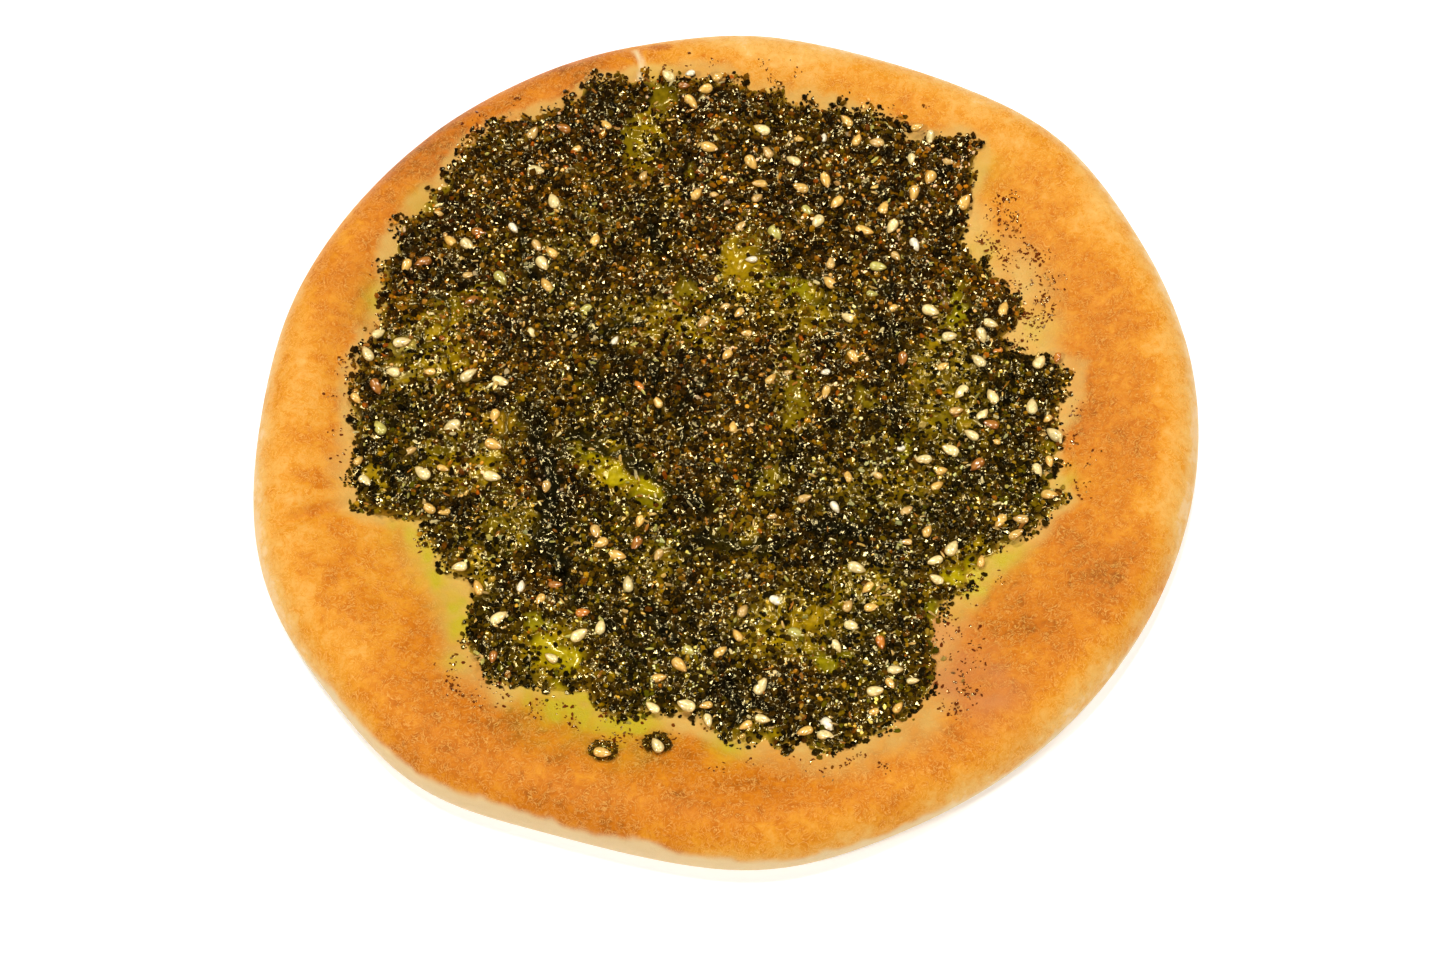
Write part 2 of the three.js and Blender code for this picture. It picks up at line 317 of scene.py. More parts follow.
def breadHeight(x, y):
    # level middle, an eased rise to the crest of the rim and a quarter-round shoulder beyond it
    angle, radius = np.arctan2(y, x), np.hypot(x, y)
    start, crest = pressedEdge(angle), rimCrest(angle)
    top = crestHeight(angle)
    rise = ease((radius - start) / (crest - start))
    inner = mix(breadShape["middleHeight"], top, rise)
    past = np.clip((radius - crest) / breadShape["edgeRound"], 0, 1)
    outer = breadShape["sideHeight"] + (top - breadShape["sideHeight"]) * np.sqrt(1 - past ** 2)
    height = np.where(radius > crest, outer, inner)
    # the relief fades in from 6 mm inside the pressed edge
    return height + crustRelief(x, y) * ease((radius - start + 6) / 10) * np.sqrt(1 - past ** 2)


def breadSurface():
    # rings run from the middle of the top, over the rim, down the side and to the middle of the base
    shape = breadShape
    angle = np.arange(shape["steps"]) * 2 * np.pi / shape["steps"]
    edge, crest, start = breadEdge(angle), rimCrest(angle), pressedEdge(angle)
    top, side = crestHeight(angle), shape["sideHeight"]
    radii, heights = [], []
    inner = np.linspace(0, 1, shape["middleRings"])[:, None] * start
    rise = mix(start, crest, np.linspace(0, 1, shape["riseRings"])[1:, None])
    for radius in np.concatenate([inner, rise]):
        radii.append(radius)
        heights.append(breadHeight(radius * np.cos(angle), radius * np.sin(angle)))
    for turn in np.linspace(0, np.pi / 2, shape["shoulderRings"])[1:]:
        radius = crest + shape["edgeRound"] * np.sin(turn)
        bump = crustRelief(radius * np.cos(angle), radius * np.sin(angle))
        radii.append(radius + bump * 0.5 * np.sin(turn) * np.cos(turn))
        heights.append(side + (top - side) * np.cos(turn) + bump * np.cos(turn))
    for turn in np.linspace(np.pi / 2, 0, shape["underRings"])[1:]:
        radii.append(edge - shape["footInset"] * (1 - np.sin(turn)))
        heights.append(side * (1 - np.cos(turn)) * np.ones_like(angle))
    for share in np.linspace(1, 0, shape["baseRings"])[1:]:
        radii.append((edge - shape["footInset"]) * share)
        heights.append(np.zeros_like(angle))
    radii, heights = np.array(radii), np.array(heights)
    x, y = radii * np.cos(angle), radii * np.sin(angle)
    return x, y, np.maximum(heights, 0)


# how well baked the crust is in each direction, 0 pale to 1 brown
bakeAround = [
    (0, 0.48), (25, 0.46), (45, 0.42), (60, 0.38), (80, 0.32), (98, 0.50), (112, 0.76), (135, 0.76),
    (155, 0.67), (175, 0.43), (195, 0.38), (210, 0.40), (228, 0.75), (245, 0.78), (265, 0.69), (300, 0.66),
    (325, 0.68), (345, 0.59),
]
# scorched stretch at the back left
scorchAround = [(95, 0), (108, 0.12), (118, 0.06), (135, 0.09), (155, 0.03), (172, 0), (355, 0)]
# how much paler the crust turns towards its outer edge
paleEdgeAround = [
    (0, 0.26), (35, 0.20), (60, 0.08), (100, 0), (170, 0.06), (200, 0.10), (225, 0), (262, 0), (285, 0.20),
    (305, 0.30), (335, 0.31),
]
# how far up the side stays cream, 0 hardly to 1 right round the shoulder
creamAround = [
    (0, 0.55), (60, 0.50), (100, 0.35), (150, 0.30), (200, 0.45), (222, 0.85), (240, 1.0), (262, 0.95),
    (276, 0.72), (300, 0.62), (320, 0.55), (340, 0.50),
]
# how wide the pale border beside the topping is
borderAround = [
    (0, 2.2), (12, 3), (21, 12), (34, 10), (44, 3.5), (60, 2.5), (90, 2.5), (120, 2), (150, 2), (180, 2.5),
    (195, 7), (210, 9), (225, 8), (240, 4), (255, 3), (270, 3.5), (284, 8), (296, 8), (310, 8), (325, 5),
    (345, 2.5),
]
# ovals of the crust that are paler or browner: x, y, half length, half width, heading, how much
bakePatches = [
    (70, 8, 12, 26, 5, 0.16), (70, -34, 18, 12, 60, 0.20), (46, -62, 16, 9, 35, 0.06),
    (0, -76, 30, 7, 0, 0.05), (-62, -52, 14, 10, -45, -0.06), (-77, 6, 7, 20, 0, -0.05),
    (-55, 60, 18, 8, 45, 0.10), (14, 80, 26, 5, -4, -0.12), (66, 44, 16, 7, -52, -0.08),
    (-75, -19.5, 7, 1.6, 15, 0.22), (-76, -13, 6, 3, -10, 0.10), (-74, -26, 8, 4, -20, -0.12),
    (48, -50, 12, 8, 60, -0.10), (-13, 80.5, 3, 1.4, 0, 0.4),
]


# green pools of oil on the crust beside the topping: x, y, reach, strength
oilFringe = [
    (-59, -23, 4, 0.7), (-55, -26, 4, 0.9), (-53, -31, 4, 1.0), (-50, -36, 4, 1.0), (-48, -41, 3.5, 0.9),
    (-49, -48, 3, 0.6), (-36, -57.5, 4, 0.4), (-29.5, -57, 7, 1.2), (-19, -61, 7, 1.1), (0, -64, 4, 0.6),
    (44, -31, 5, 1.0), (50, -27, 4, 0.8), (40, -37, 3, 0.4), (62, -12, 3, 0.4), (50, 52, 4, 0.3),
    (48, 36, 4, 0.4), (58, 20, 4, 0.3), (-66, 25, 4, 0.5), (-58, 46, 3, 0.4), (-13, 73, 3, 0.4),
]
crustPaint = {
    "widePatches": 0.14,  # how much the baking wavers, 15 mm across
    "smallPatches": 0.10,  # and 4 mm across
    "slopeBrowning": 0.14,  # of the slope down to the topping
    "edgePaling": 0.28,  # of the outermost 3.5 mm, where the crust is pale
    "brownLimit": 0.60,  # browning past this counts half
    "creamTop": (1.5, 9.2),  # lowest and highest that the cream side reaches
    "creamWaver": 1.3,
    "baseLevel": 0.44,  # how well toasted the base is
    "baseWaver": 0.26,
    "baseSpots": 0.34,
    "blushPlace": (42, -50, 20, 10, -55),  # x, y, half length, half width, heading of a pinkish patch
    "baseBelow": 0.05,  # points lower than this are on the base
}


def aroundBread(table, angle):
    directions = np.radians([row[0] for row in table])
    return np.interp(angle, directions, [row[1] for row in table], period=2 * np.pi)


def outerShare(angle, radius, width):
    # 0, rising to 1 across the outermost stretch of the bread
    return ease((radius - breadEdge(angle) + width) / width)


def crustBake(x, y, angle, radius):
    # direction, patches and noise brown the crust; then heavy browning is halved and the edge made paler
    bake = aroundBread(bakeAround, angle)
    for patchX, patchY, halfLength, halfWidth, heading, much in bakePatches:
        bake = bake + much * ease(ovalShare(x, y, patchX, patchY, halfLength, halfWidth, heading) * 1.6)
    bake = bake + crustPaint["widePatches"] * layeredNoise(x, y, 15.0, 3, 61)
    bake = bake + crustPaint["smallPatches"] * layeredNoise(x, y, 4.0, 2, 67)
    bake = bake + crustPaint["slopeBrowning"] * (1 - ease((radius - rimCrest(angle) + 8) / 10))
    pale = 1 - ease((bake - 0.5) / 0.4)
    bake = bake - crustPaint["edgePaling"] * outerShare(angle, radius, 3.5) * pale
    limit = crustPaint["brownLimit"]
    bake = np.where(bake > limit, limit + (bake - limit) * 0.5, bake)
    bake = bake + aroundBread(scorchAround, angle)
    return bake - aroundBread(paleEdgeAround, angle) * outerShare(angle, radius, 9)


def baseBake(x, y):
    # toasted where it lay on the hot stone, paler between, with darker spots
    spots = ease((grains(x, y, 6.5, 263)[0] - 0.45) / 0.4) * ease(0.4 + layeredNoise(x, y, 22.0, 2, 269))
    waver = crustPaint["baseWaver"] * layeredNoise(x, y, 17.0, 3, 271)
    return crustPaint["baseLevel"] + waver + crustPaint["baseSpots"] * spots


def sideCream(x, y, z, angle, radius):
    # the unbaked side, up to a wavering line and only outside the crest of the rim
    top = mix(*crustPaint["creamTop"], aroundBread(creamAround, angle))
    top = top + crustPaint["creamWaver"] * layeredNoise(x, y, 7.0, 3, 71) + 0.5 * smoothNoise(x, y, 1.8, 277)
    return 0.92 * (1 - ease((z - top + 1.2) / 1.7)) * ease((radius - rimCrest(angle) - 0.5) / 2.5)


def borderSoak(x, y, angle, past):
    # the pale border that the topping's oil has soaked; past is how far a point is beyond the topping
    soak = 1 - ease((past - 0.4) / aroundBread(borderAround, angle))
    return soak * np.clip(0.85 + 0.45 * layeredNoise(x, y, 4.0, 2, 281), 0, 1)


def fringeOil(x, y, past):
    # the strongest pool at each spot, broken by noise and fading away from the topping
    oil = np.zeros_like(x)
    for poolX, poolY, reach, strength in oilFringe:
        away = ((x - poolX) ** 2 + (y - poolY) ** 2) / reach ** 2
        oil = np.maximum(oil, strength * np.exp(-away))
    return oil * (1.05 + 0.6 * smoothNoise(x, y, 1.7, 83)) * (1 - 0.6 * ease((past - 2.5) / 4.0))


def breadPaint(x, y, z):
    # how much of each finish the crust has at each point
    angle, radius = np.arctan2(y, x), np.hypot(x, y)
    base, low = z < crustPaint["baseBelow"], z < breadShape["sideHeight"]
    bake = np.where(base, baseBake(x, y), crustBake(x, y, angle, radius))
    baseCream = 0.35 * ease(0.2 + layeredNoise(x, y, 12.0, 3, 73)) + 0.5 * outerShare(angle, radius, 3.5)
    cream = np.where(base, baseCream, sideCream(x, y, z, angle, radius))
    past = radius - toppingEdge(angle) + 1.2 * smoothNoise(x, y, 5.0, 79) + 0.5 * smoothNoise(x, y, 1.7, 89)
    soak = np.where(low, 0, borderSoak(x, y, angle, past))
    oil = np.where(low, 0, np.clip(fringeOil(x, y, past), 0, 1))
    blush = ease(ovalShare(x, y, *crustPaint["blushPlace"]) * 1.5) * (0.8 + 0.5 * smoothNoise(x, y, 3.0, 97))
    blush = np.clip(blush * (0.6 + 0.3 * soak), 0, 1)
    split = distanceToPath(x, y, crustFolds[2]["path"]) / 0.5  # the short split at the back shows pale crumb
    crease = np.exp(-(split ** 2)) * (z > 5)
    cream = np.clip(cream, 0, 1)
    return {"bake": bake, "cream": cream, "soak": soak, "oil": oil, "crease": crease, "blush": blush}


def newMaterial(name):
    material = bpy.data.materials.new(name)
    material.use_nodes = True
    tree = material.node_tree
    return material, tree, tree.nodes["Principled BSDF"]


def addNode(tree, kind, settings=None, **inputs):
    node = tree.nodes.new(kind)
    for key, value in (settings or {}).items():
        setattr(node, key, value)
    for key, value in inputs.items():
        node.inputs[key].default_value = value
    return node


def noiseNode(tree, scale, detail=3.0, roughness=0.55, distortion=0.0):
    # scale in features to the metre, on the piece's own coordinates
    coords = addNode(tree, "ShaderNodeTexCoord")
    node = addNode(
        tree, "ShaderNodeTexNoise", Scale=scale, Detail=detail, Roughness=roughness, Distortion=distortion
    )
    tree.links.new(coords.outputs["Object"], node.inputs["Vector"])
    return node.outputs["Fac"]


def attributeNode(tree, name, output="Fac"):
    return addNode(tree, "ShaderNodeAttribute", {"attribute_name": name}).outputs[output]


def mathNode(tree, operation, a, b=None, clamp=False):
    node = addNode(tree, "ShaderNodeMath", {"operation": operation, "use_clamp": clamp})
    for socket, value in zip(node.inputs, (a, b)):
        if value is None:
            continue
        if isinstance(value, (int, float)):
            socket.default_value = value
        else:
            tree.links.new(value, socket)
    return node.outputs[0]


def rangeNode(tree, value, fromLow, fromHigh, toLow, toHigh):
    node = addNode(tree, "ShaderNodeMapRange")
    for key, number in zip(("From Min", "From Max", "To Min", "To Max"), (fromLow, fromHigh, toLow, toHigh)):
        node.inputs[key].default_value = number
    tree.links.new(value, node.inputs["Value"])
    return node.outputs["Result"]


def rampNode(tree, value, stops):
    node = addNode(tree, "ShaderNodeValToRGB")
    ramp = node.color_ramp
    while len(ramp.elements) < len(stops):
        ramp.elements.new(0.5)
    for element, (position, colour) in zip(ramp.elements, stops):
        element.position = position
        element.color = (*colour, 1)
    tree.links.new(value, node.inputs["Fac"])
    return node.outputs["Color"]


def mixNode(tree, share, a, b, blend="MIX"):
    node = addNode(tree, "ShaderNodeMix", {"data_type": "RGBA", "blend_type": blend})
    for key, value in ((0, share), (6, a), (7, b)):
        if isinstance(value, (int, float)):
            node.inputs[key].default_value = value
        elif isinstance(value, np.ndarray):
            node.inputs[key].default_value = (*value, 1)
        else:
            tree.links.new(value, node.inputs[key])
    return node.outputs[2]


def bumpNode(tree, shader, height, strength, distance):
    node = addNode(tree, "ShaderNodeBump", Strength=strength, Distance=distance)
    tree.links.new(height, node.inputs["Height"])
    tree.links.new(node.outputs["Normal"], shader.inputs["Normal"])
    return node


crustFinish = {
    "roughness": (0.40, 0.58),
    "oilyRoughness": 0.26,
    "blotchesPerMetre": 130.0,
    "specksPerMetre": 480.0,
    "fibresPerMetre": 640.0,
    "bump": 0.5,
}
# from pale dough to scorched
crustColours = [
    (0.00, tone(230, 188, 126)), (0.15, tone(224, 170, 86)), (0.45, tone(215, 138, 28)),
    (0.62, tone(200, 114, 8)), (0.76, tone(186, 100, 5)), (0.95, tone(148, 78, 4)), (1.00, tone(122, 58, 3)),
]
crustTones = {
    "fibre": tone(250, 190, 96), "border": tone(208, 164, 84), "blush": tone(196, 122, 66),
    "oil": tone(188, 164, 34), "cream": tone(222, 193, 142), "crease": tone(226, 200, 150),
}


def crustMaterial():
    material, tree, shader = newMaterial("baked_crust")
    blotch = noiseNode(tree, crustFinish["blotchesPerMetre"], 4.0, 0.6)
    speck = noiseNode(tree, crustFinish["specksPerMetre"], 5.0, 0.72, 0.4)
    fibre = noiseNode(tree, crustFinish["fibresPerMetre"], 3.0, 0.6, 1.8)
    shade = attributeNode(tree, "bake")
    shade = mathNode(tree, "ADD", shade, rangeNode(tree, blotch, 0.3, 0.7, -0.12, 0.12))
    shade = mathNode(tree, "ADD", shade, rangeNode(tree, speck, 0.3, 0.7, -0.17, 0.17), clamp=True)
    colour = rampNode(tree, shade, crustColours)
    # thin pale fibres where the fine noise crosses its middle value
    ridge = mathNode(tree, "ABSOLUTE", mathNode(tree, "SUBTRACT", fibre, 0.5))
    fibres = rangeNode(tree, ridge, 0.0, 0.05, 0.56, 0.0)
    fibres = mathNode(tree, "MULTIPLY", fibres, rangeNode(tree, blotch, 0.35, 0.65, 0.70, 1.05), clamp=True)
    fibres = mathNode(tree, "MULTIPLY", fibres, rangeNode(tree, speck, 0.38, 0.58, 0.15, 1.1), clamp=True)
    colour = mixNode(tree, fibres, colour, crustTones["fibre"])
    soak = attributeNode(tree, "soak")
    border = mathNode(tree, "MULTIPLY", soak, rangeNode(tree, speck, 0.3, 0.7, 0.75, 1.05), clamp=True)
    colour = mixNode(tree, border, colour, crustTones["border"])
    colour = mixNode(tree, attributeNode(tree, "blush"), colour, crustTones["blush"])
    oil = attributeNode(tree, "oil")
    colour = mixNode(tree, mathNode(tree, "MULTIPLY", oil, 0.95, clamp=True), colour, crustTones["oil"])
    colour = mixNode(tree, attributeNode(tree, "cream"), colour, crustTones["cream"])
    colour = mixNode(tree, attributeNode(tree, "crease"), colour, crustTones["crease"])
    tree.links.new(colour, shader.inputs["Base Color"])
    rough = rangeNode(tree, speck, 0.3, 0.7, *crustFinish["roughness"])
    wet = mathNode(tree, "MAXIMUM", mathNode(tree, "MULTIPLY", soak, 0.3), oil)
    gloss = addNode(tree, "ShaderNodeMix", {"data_type": "FLOAT"})
    tree.links.new(wet, gloss.inputs[0])
    tree.links.new(rough, gloss.inputs[2])
    gloss.inputs[3].default_value = crustFinish["oilyRoughness"]
    tree.links.new(gloss.outputs[0], shader.inputs["Roughness"])
    shader.inputs["Specular IOR Level"].default_value = 0.22
    shader.inputs["Specular Tint"].default_value = (1.0, 0.84, 0.56, 1)
    shader.inputs["Subsurface Weight"].default_value = 0.10
    shader.inputs["Subsurface Radius"].default_value = (1.0, 0.45, 0.18)
    shader.inputs["Subsurface Scale"].default_value = 0.0014
    height = mathNode(tree, "ADD", speck, mathNode(tree, "MULTIPLY", fibres, 0.6))
    bumpNode(tree, shader, height, crustFinish["bump"], 0.00025)
    return material


oilGlint = (1.0, 0.80, 0.36)  # the warm colour that the oil gives its highlights
tintFinishes = {
    "oily_zaatar": {
        "roughness": (0.10, 0.20), "grainsPerMetre": 1100.0, "bump": 0.65, "glint": oilGlint, "shine": 0.6,
    },
    "zaatar_crumbs": {
        "roughness": (0.06, 0.13), "grainsPerMetre": 3000.0, "bump": 0.15, "glint": oilGlint, "shine": 0.8,
    },
    "sesame_hull": {
        "roughness": (0.14, 0.26), "grainsPerMetre": 1700.0, "bump": 0.2, "glint": (1.0, 0.92, 0.72),
        "shine": 0.6, "coat": 0.7, "scatter": 0.06,
    },
}


def tintMaterial(name):
    # colour from the piece's own tint, broken up by a fine grain, with oily highlights
    finish = tintFinishes[name]
    material, tree, shader = newMaterial(name)
    grain = noiseNode(tree, finish["grainsPerMetre"], 3.0, 0.6)
    level = rangeNode(tree, grain, 0.3, 0.7, 0.72, 1.28)
    scaled = addNode(tree, "ShaderNodeVectorMath", {"operation": "SCALE"})
    tree.links.new(attributeNode(tree, "tint", "Color"), scaled.inputs[0])
    tree.links.new(level, scaled.inputs["Scale"])
    tree.links.new(scaled.outputs[0], shader.inputs["Base Color"])
    tree.links.new(rangeNode(tree, grain, 0.3, 0.7, *finish["roughness"]), shader.inputs["Roughness"])
    shader.inputs["Specular IOR Level"].default_value = finish["shine"]
    shader.inputs["Specular Tint"].default_value = (*finish["glint"], 1)
    shader.inputs["Coat Weight"].default_value = finish.get("coat", 0.0)
    shader.inputs["Coat Roughness"].default_value = 0.08
    shader.inputs["Subsurface Weight"].default_value = finish.get("scatter", 0.0)
    shader.inputs["Subsurface Radius"].default_value = (1.0, 0.6, 0.3)
    shader.inputs["Subsurface Scale"].default_value = 0.0006
    bump = bumpNode(tree, shader, grain, finish["bump"], 0.00012)
    # calm pools: the piece's own calm value flattens the grain
    flat = rangeNode(tree, attributeNode(tree, "calm"), 0.0, 0.8, finish["bump"], finish["bump"] * 0.06)
    tree.links.new(flat, bump.inputs["Strength"])
    return material


crust = crustMaterial()
paste, crumb, hull = (tintMaterial(name) for name in ("oily_zaatar", "zaatar_crumbs", "sesame_hull"))
print("materials made")


def makeBread():
    x, y, z = breadSurface()
    paint = {name: alongRings(rings) for name, rings in breadPaint(x, y, z).items()}
    faces = closedGrid(*x.shape)
    breadPiece = makeMesh("baked_bread", ringPoints(x, y, z), faces, crust, values=paint)
    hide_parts("bread")
    print("bread made:", len(breadPiece.data.polygons), "faces")


makeBread()


toppingShape = {
    "gap": 0.3,
    "thickness": 2.2,
    "rimThickness": 1.1,
    "thinning": 14.0,
    "cell": 0.42,
    "lumps": 0.60,  # heaps 6 mm across
    "clots": 0.42,  # clots 2.4 mm across
    "gapDepth": 0.75,  # gaps between the heaps, sunk and painted dark as shade
    "grain": 0.42,  # grains 1.2 mm across
    "grainCell": 1.2,
    "ragged": 1.9,  # how far the edge wanders
    "feather": 2.6,  # how soon the edge thins away
    "tucked": 4.5,  # how far the hidden rim reaches down into the bread
    "reach": 80.0,  # half the square that the topping and its crumbs are laid out in
}
# wide patches where the oil shows between sparser crumbs: x, y, half length, half width, heading, how much
oilZones = [
    (-57, 13, 12, 10, 10, 0.55), (-48, -8, 13, 9, 0, 0.60), (-40, -20, 8, 9, 0, 0.45),
    (-20, -10, 15, 7, -28, 0.75), (3, 32, 7, 11, 0, 0.70), (14, 24, 9, 8, -20, 0.60),
    (12, 8, 6, 13, 0, 0.45), (40, 6, 9, 17, 0, 0.50), (42, 24, 6, 9, 0, 0.45), (12, -42, 15, 9, 0, 0.60),
    (-31, -46, 10, 8, 0, 0.60),
    (-16, 60, 6, 12, -10, 0.60), (-50, 24, 12, 5, 20, 0.40), (4, -24, 10, 6, 0, 0.50),
    (28, -14, 12, 6, 0, 0.48), (-10, 20, 14, 9, 0, 0.46), (24, -34, 9, 7, 20, 0.45),
    (-14, -30, 8, 6, 0, 0.40), (44, -28, 8, 5, 30, 0.70), (-46, -30, 4, 12, 15, 0.60),
    (-28, 40, 12, 8, 0, 0.25), (4, -62, 7, 4, 0, 0.50),
]
# clear pools of oil and bare olive patches: x, y, half length, half width, heading, tone
oilWindows = [
    (-18.5, 60, 2.6, 4.2, 0, "olive"), (-13, 70.5, 2.5, 3, 0, "olive"), (-55.2, 49, 1.2, 2.6, 0, "olive"),
    (-57, 44.5, 2.6, 2, 0, "olive"), (-60, 16, 3, 1.5, 0, "pale"), (-54.5, 19, 3.2, 1.5, 25, "gold"),
    (-60.5, 8.5, 1.6, 1.4, 0, "pale"), (-50.3, 11.5, 2.2, 2, 0, "gold"), (-47.5, 6, 3.2, 1.1, 10, "gold"),
    (-41.5, -0.5, 3.6, 3, 0, "amber"), (-54.5, -6.5, 1.7, 1.3, 0, "olive"), (-65, -12.5, 2, 1.8, 0, "gold"),
    (-8, 53.5, 2, 1.8, 0, "olive"), (2.2, 34, 3, 4, 0, "gold"), (11.3, 28.5, 3.4, 2.1, -30, "green"),
    (15.5, 24.5, 2.6, 1.3, -20, "green"), (12.5, 13, 2, 4, 0, "olive"), (13, 4, 2, 5, 0, "olive"),
    (42.7, 25, 1.4, 5, 0, "green"), (39.5, 1, 3, 3.4, 0, "olive"), (33, -6.5, 2.5, 1.5, 0, "green"),
    (-25.5, -7, 4, 2.5, -20, "bright"), (-20, -11, 3, 2.4, -20, "bright"),
    (-15, -14.5, 3.6, 2, -35, "bright"),
    (-43, -21.5, 2.5, 1.8, 0, "olive"), (-31.5, -46, 4, 3, 0, "bright"), (-34, -40.5, 2, 1.5, 0, "green"),
    (-29.5, -55, 2.6, 4, 0, "bright"), (-45, -48.5, 2, 2, 0, "olive"), (13.2, -40, 2.5, 2, 0, "gold"),
    (12.5, -45.5, 1.6, 1.4, 0, "olive"), (17.5, -47.5, 3.5, 1.5, 0, "green"),
    (43, -30.5, 4, 2.6, 30, "bright"), (36, -37, 2, 1.5, 0, "green"),
    (58, -12, 1.8, 2, 0, "olive"), (58, -5, 1.2, 2, 0, "olive"), (4, -63, 3.6, 1.4, 0, "green"),
    (-52, 24, 3, 2, 20, "olive"), (8, -12, 3, 2, 30, "olive"), (25, 4, 2.4, 3, 0, "olive"),
    (-28, 8, 2.4, 1.6, 0, "olive"), (-8, 28, 2, 2.6, 0, "olive"),
]
windowTones = {
    "olive": tone(116, 94, 2), "gold": tone(156, 122, 4), "pale": tone(166, 140, 52),
    "amber": tone(146, 108, 6), "green": tone(134, 118, 2), "bright": tone(164, 142, 2),
}
# furrows, sunk and painted dark as shade: path, half width, depth
furrows = [
    {"path": [(-36, 1), (-33, -8), (-32, -16), (-33, -26), (-30, -30)], "width": 1.7, "depth": 1.3},
    {"path": [(-29, -3), (-19, -7.5), (-12, -12.5), (-7, -15.5)], "width": 1.1, "depth": 1.2},
    {"path": [(-9, -15.5), (-5, -17.5)], "width": 1.8, "depth": 1.4},
    {"path": [(-15, 41), (-13, 36)], "width": 1.3, "depth": 1.0},
    {"path": [(-14, 12), (-12, 0)], "width": 1.2, "depth": 1.0},
    {"path": [(-38, 40), (-37, 29)], "width": 1.0, "depth": 0.8},
    {"path": [(15, -21), (24, -22.5)], "width": 1.4, "depth": 1.0},
    {"path": [(-5, -24), (4, -26), (12, -24.5)], "width": 1.4, "depth": 1.0},
    {"path": [(-16, -36), (-10.5, -43)], "width": 1.3, "depth": 1.0},
    {"path": [(1, -52), (1.5, -60)], "width": 1.2, "depth": 1.0},
    {"path": [(-9, -4), (-8, 4), (-3, 9)], "width": 1.0, "depth": 0.8},
    {"path": [(-43.5, 45), (-42, 41)], "width": 1.2, "depth": 0.8},
    {"path": [(-23, 18), (-16, 21)], "width": 1.3, "depth": 0.9},
    {"path": [(22, 26), (30, 20), (33, 12)], "width": 0.9, "depth": 0.7},
]
# bays and lobes too small for the frame's outline: direction, how far out, spread in degrees
edgeLobes = [
    (9, -2.2, 3), (17, -4.0, 4), (31, -2.5, 3), (24, 1.5, 3), (40, -2.5, 4), (50, -1.5, 4), (203, 1.2, 3),
    (216, -1.5, 4), (246, -2.0, 2.5), (252, 1.4, 2), (262, -1.6, 3), (322, 1.6, 3), (338, -1.0, 3),
]


def raggedEdge(angle):
    # the frame's edge with its lobes, wandering by a few noises so that it is crumbly
    radius = toppingEdge(angle)
    for middle, out, spread in edgeLobes:
        away = (np.degrees(angle) - middle + 180) % 360 - 180
        radius = radius + out * np.exp(-(away / spread) ** 2)
    x, y = radius * np.cos(angle), radius * np.sin(angle)
    wander = 0.5 * smoothNoise(x, y, 4.5, 101) + 0.5 * smoothNoise(x, y, 1.7, 103)
    return radius + toppingShape["ragged"] * (wander - 0.2)


def windowShare(x, y):
    # how clear the oil is at each spot, and the colour of the clearest window there
    clear = np.zeros_like(x)
    colour = np.zeros((*x.shape, 3))
    wobbleX = x + 2.0 * smoothNoise(x, y, 2.6, 107) + 0.9 * smoothNoise(x, y, 1.0, 229)
    wobbleY = y + 2.0 * smoothNoise(x, y, 2.6, 109) + 0.9 * smoothNoise(x, y, 1.0, 233)
    for windowX, windowY, halfLength, halfWidth, heading, name in oilWindows:
        share = ovalShare(wobbleX, wobbleY, windowX, windowY, halfLength * 1.25, halfWidth * 1.25, heading)
        share = ease(share * 2.2)
        wins = share > clear
        clear = np.where(wins, share, clear)
        colour = np.where(wins[..., None], windowTones[name], colour)
    return clear, colour


def oilShare(x, y):
    # how far the oil shows through in the wide patches, broken up by noise
    share = np.zeros_like(x)
    for zoneX, zoneY, halfLength, halfWidth, heading, much in oilZones:
        within = ovalShare(x, y, zoneX, zoneY, halfLength, halfWidth, heading)
        share = np.maximum(share, much * ease(within * 1.8))
    return np.clip(share * (1.0 + 0.9 * layeredNoise(x, y, 4.0, 2, 211)), 0, 1)


def furrowDepth(x, y):
    depth = np.zeros_like(x)
    wobbleX = x + 1.2 * smoothNoise(x, y, 3.0, 113)
    wobbleY = y + 1.2 * smoothNoise(x, y, 3.0, 127)
    for furrow in furrows:
        away = distanceToPath(wobbleX, wobbleY, furrow["path"]) / (1.25 * furrow["width"])
        depth = np.maximum(depth, furrow["depth"] * np.exp(-(away ** 2)))
    # thin gaps wherever a slow noise crosses zero, open in some places and closed in others
    gap = ease(1 - np.abs(smoothNoise(x, y, 5.5, 241)) / 0.17) * ease(0.55 + smoothNoise(x, y, 13.0, 251))
    return np.maximum(depth, toppingShape["gapDepth"] * gap)


def heapLevel(x, y):
    lumps = toppingShape["lumps"] * layeredNoise(x, y, 6.0, 2, 131)
    return lumps + toppingShape["clots"] * smoothNoise(x, y, 2.4, 137)


def toppingHeight(x, y, fine=True):
    # bread, then the layer's thickness, heaps, clots and grains; furrows sink and windows lie low and level
    angle, radius = np.arctan2(y, x), np.hypot(x, y)
    inwards = toppingEdge(angle) - radius
    thinned = 1 - ease(inwards / toppingShape["thinning"])
    depth = mix(toppingShape["thickness"], toppingShape["rimThickness"], thinned)
    heap = heapLevel(x, y)
    clear, _ = windowShare(x, y)
    if fine:
        grain = grains(x, y, toppingShape["grainCell"], 139)[0] - 0.4
        grain += 0.5 * grains(x + 31, y, 0.8, 191)[0] - 0.2
        heap = heap + toppingShape["grain"] * grain
    depth = depth + heap * (1 - 0.80 * clear) - 0.7 * clear - furrowDepth(x, y)
    return breadHeight(x, y) + toppingShape["gap"] + np.maximum(depth, 0.25)


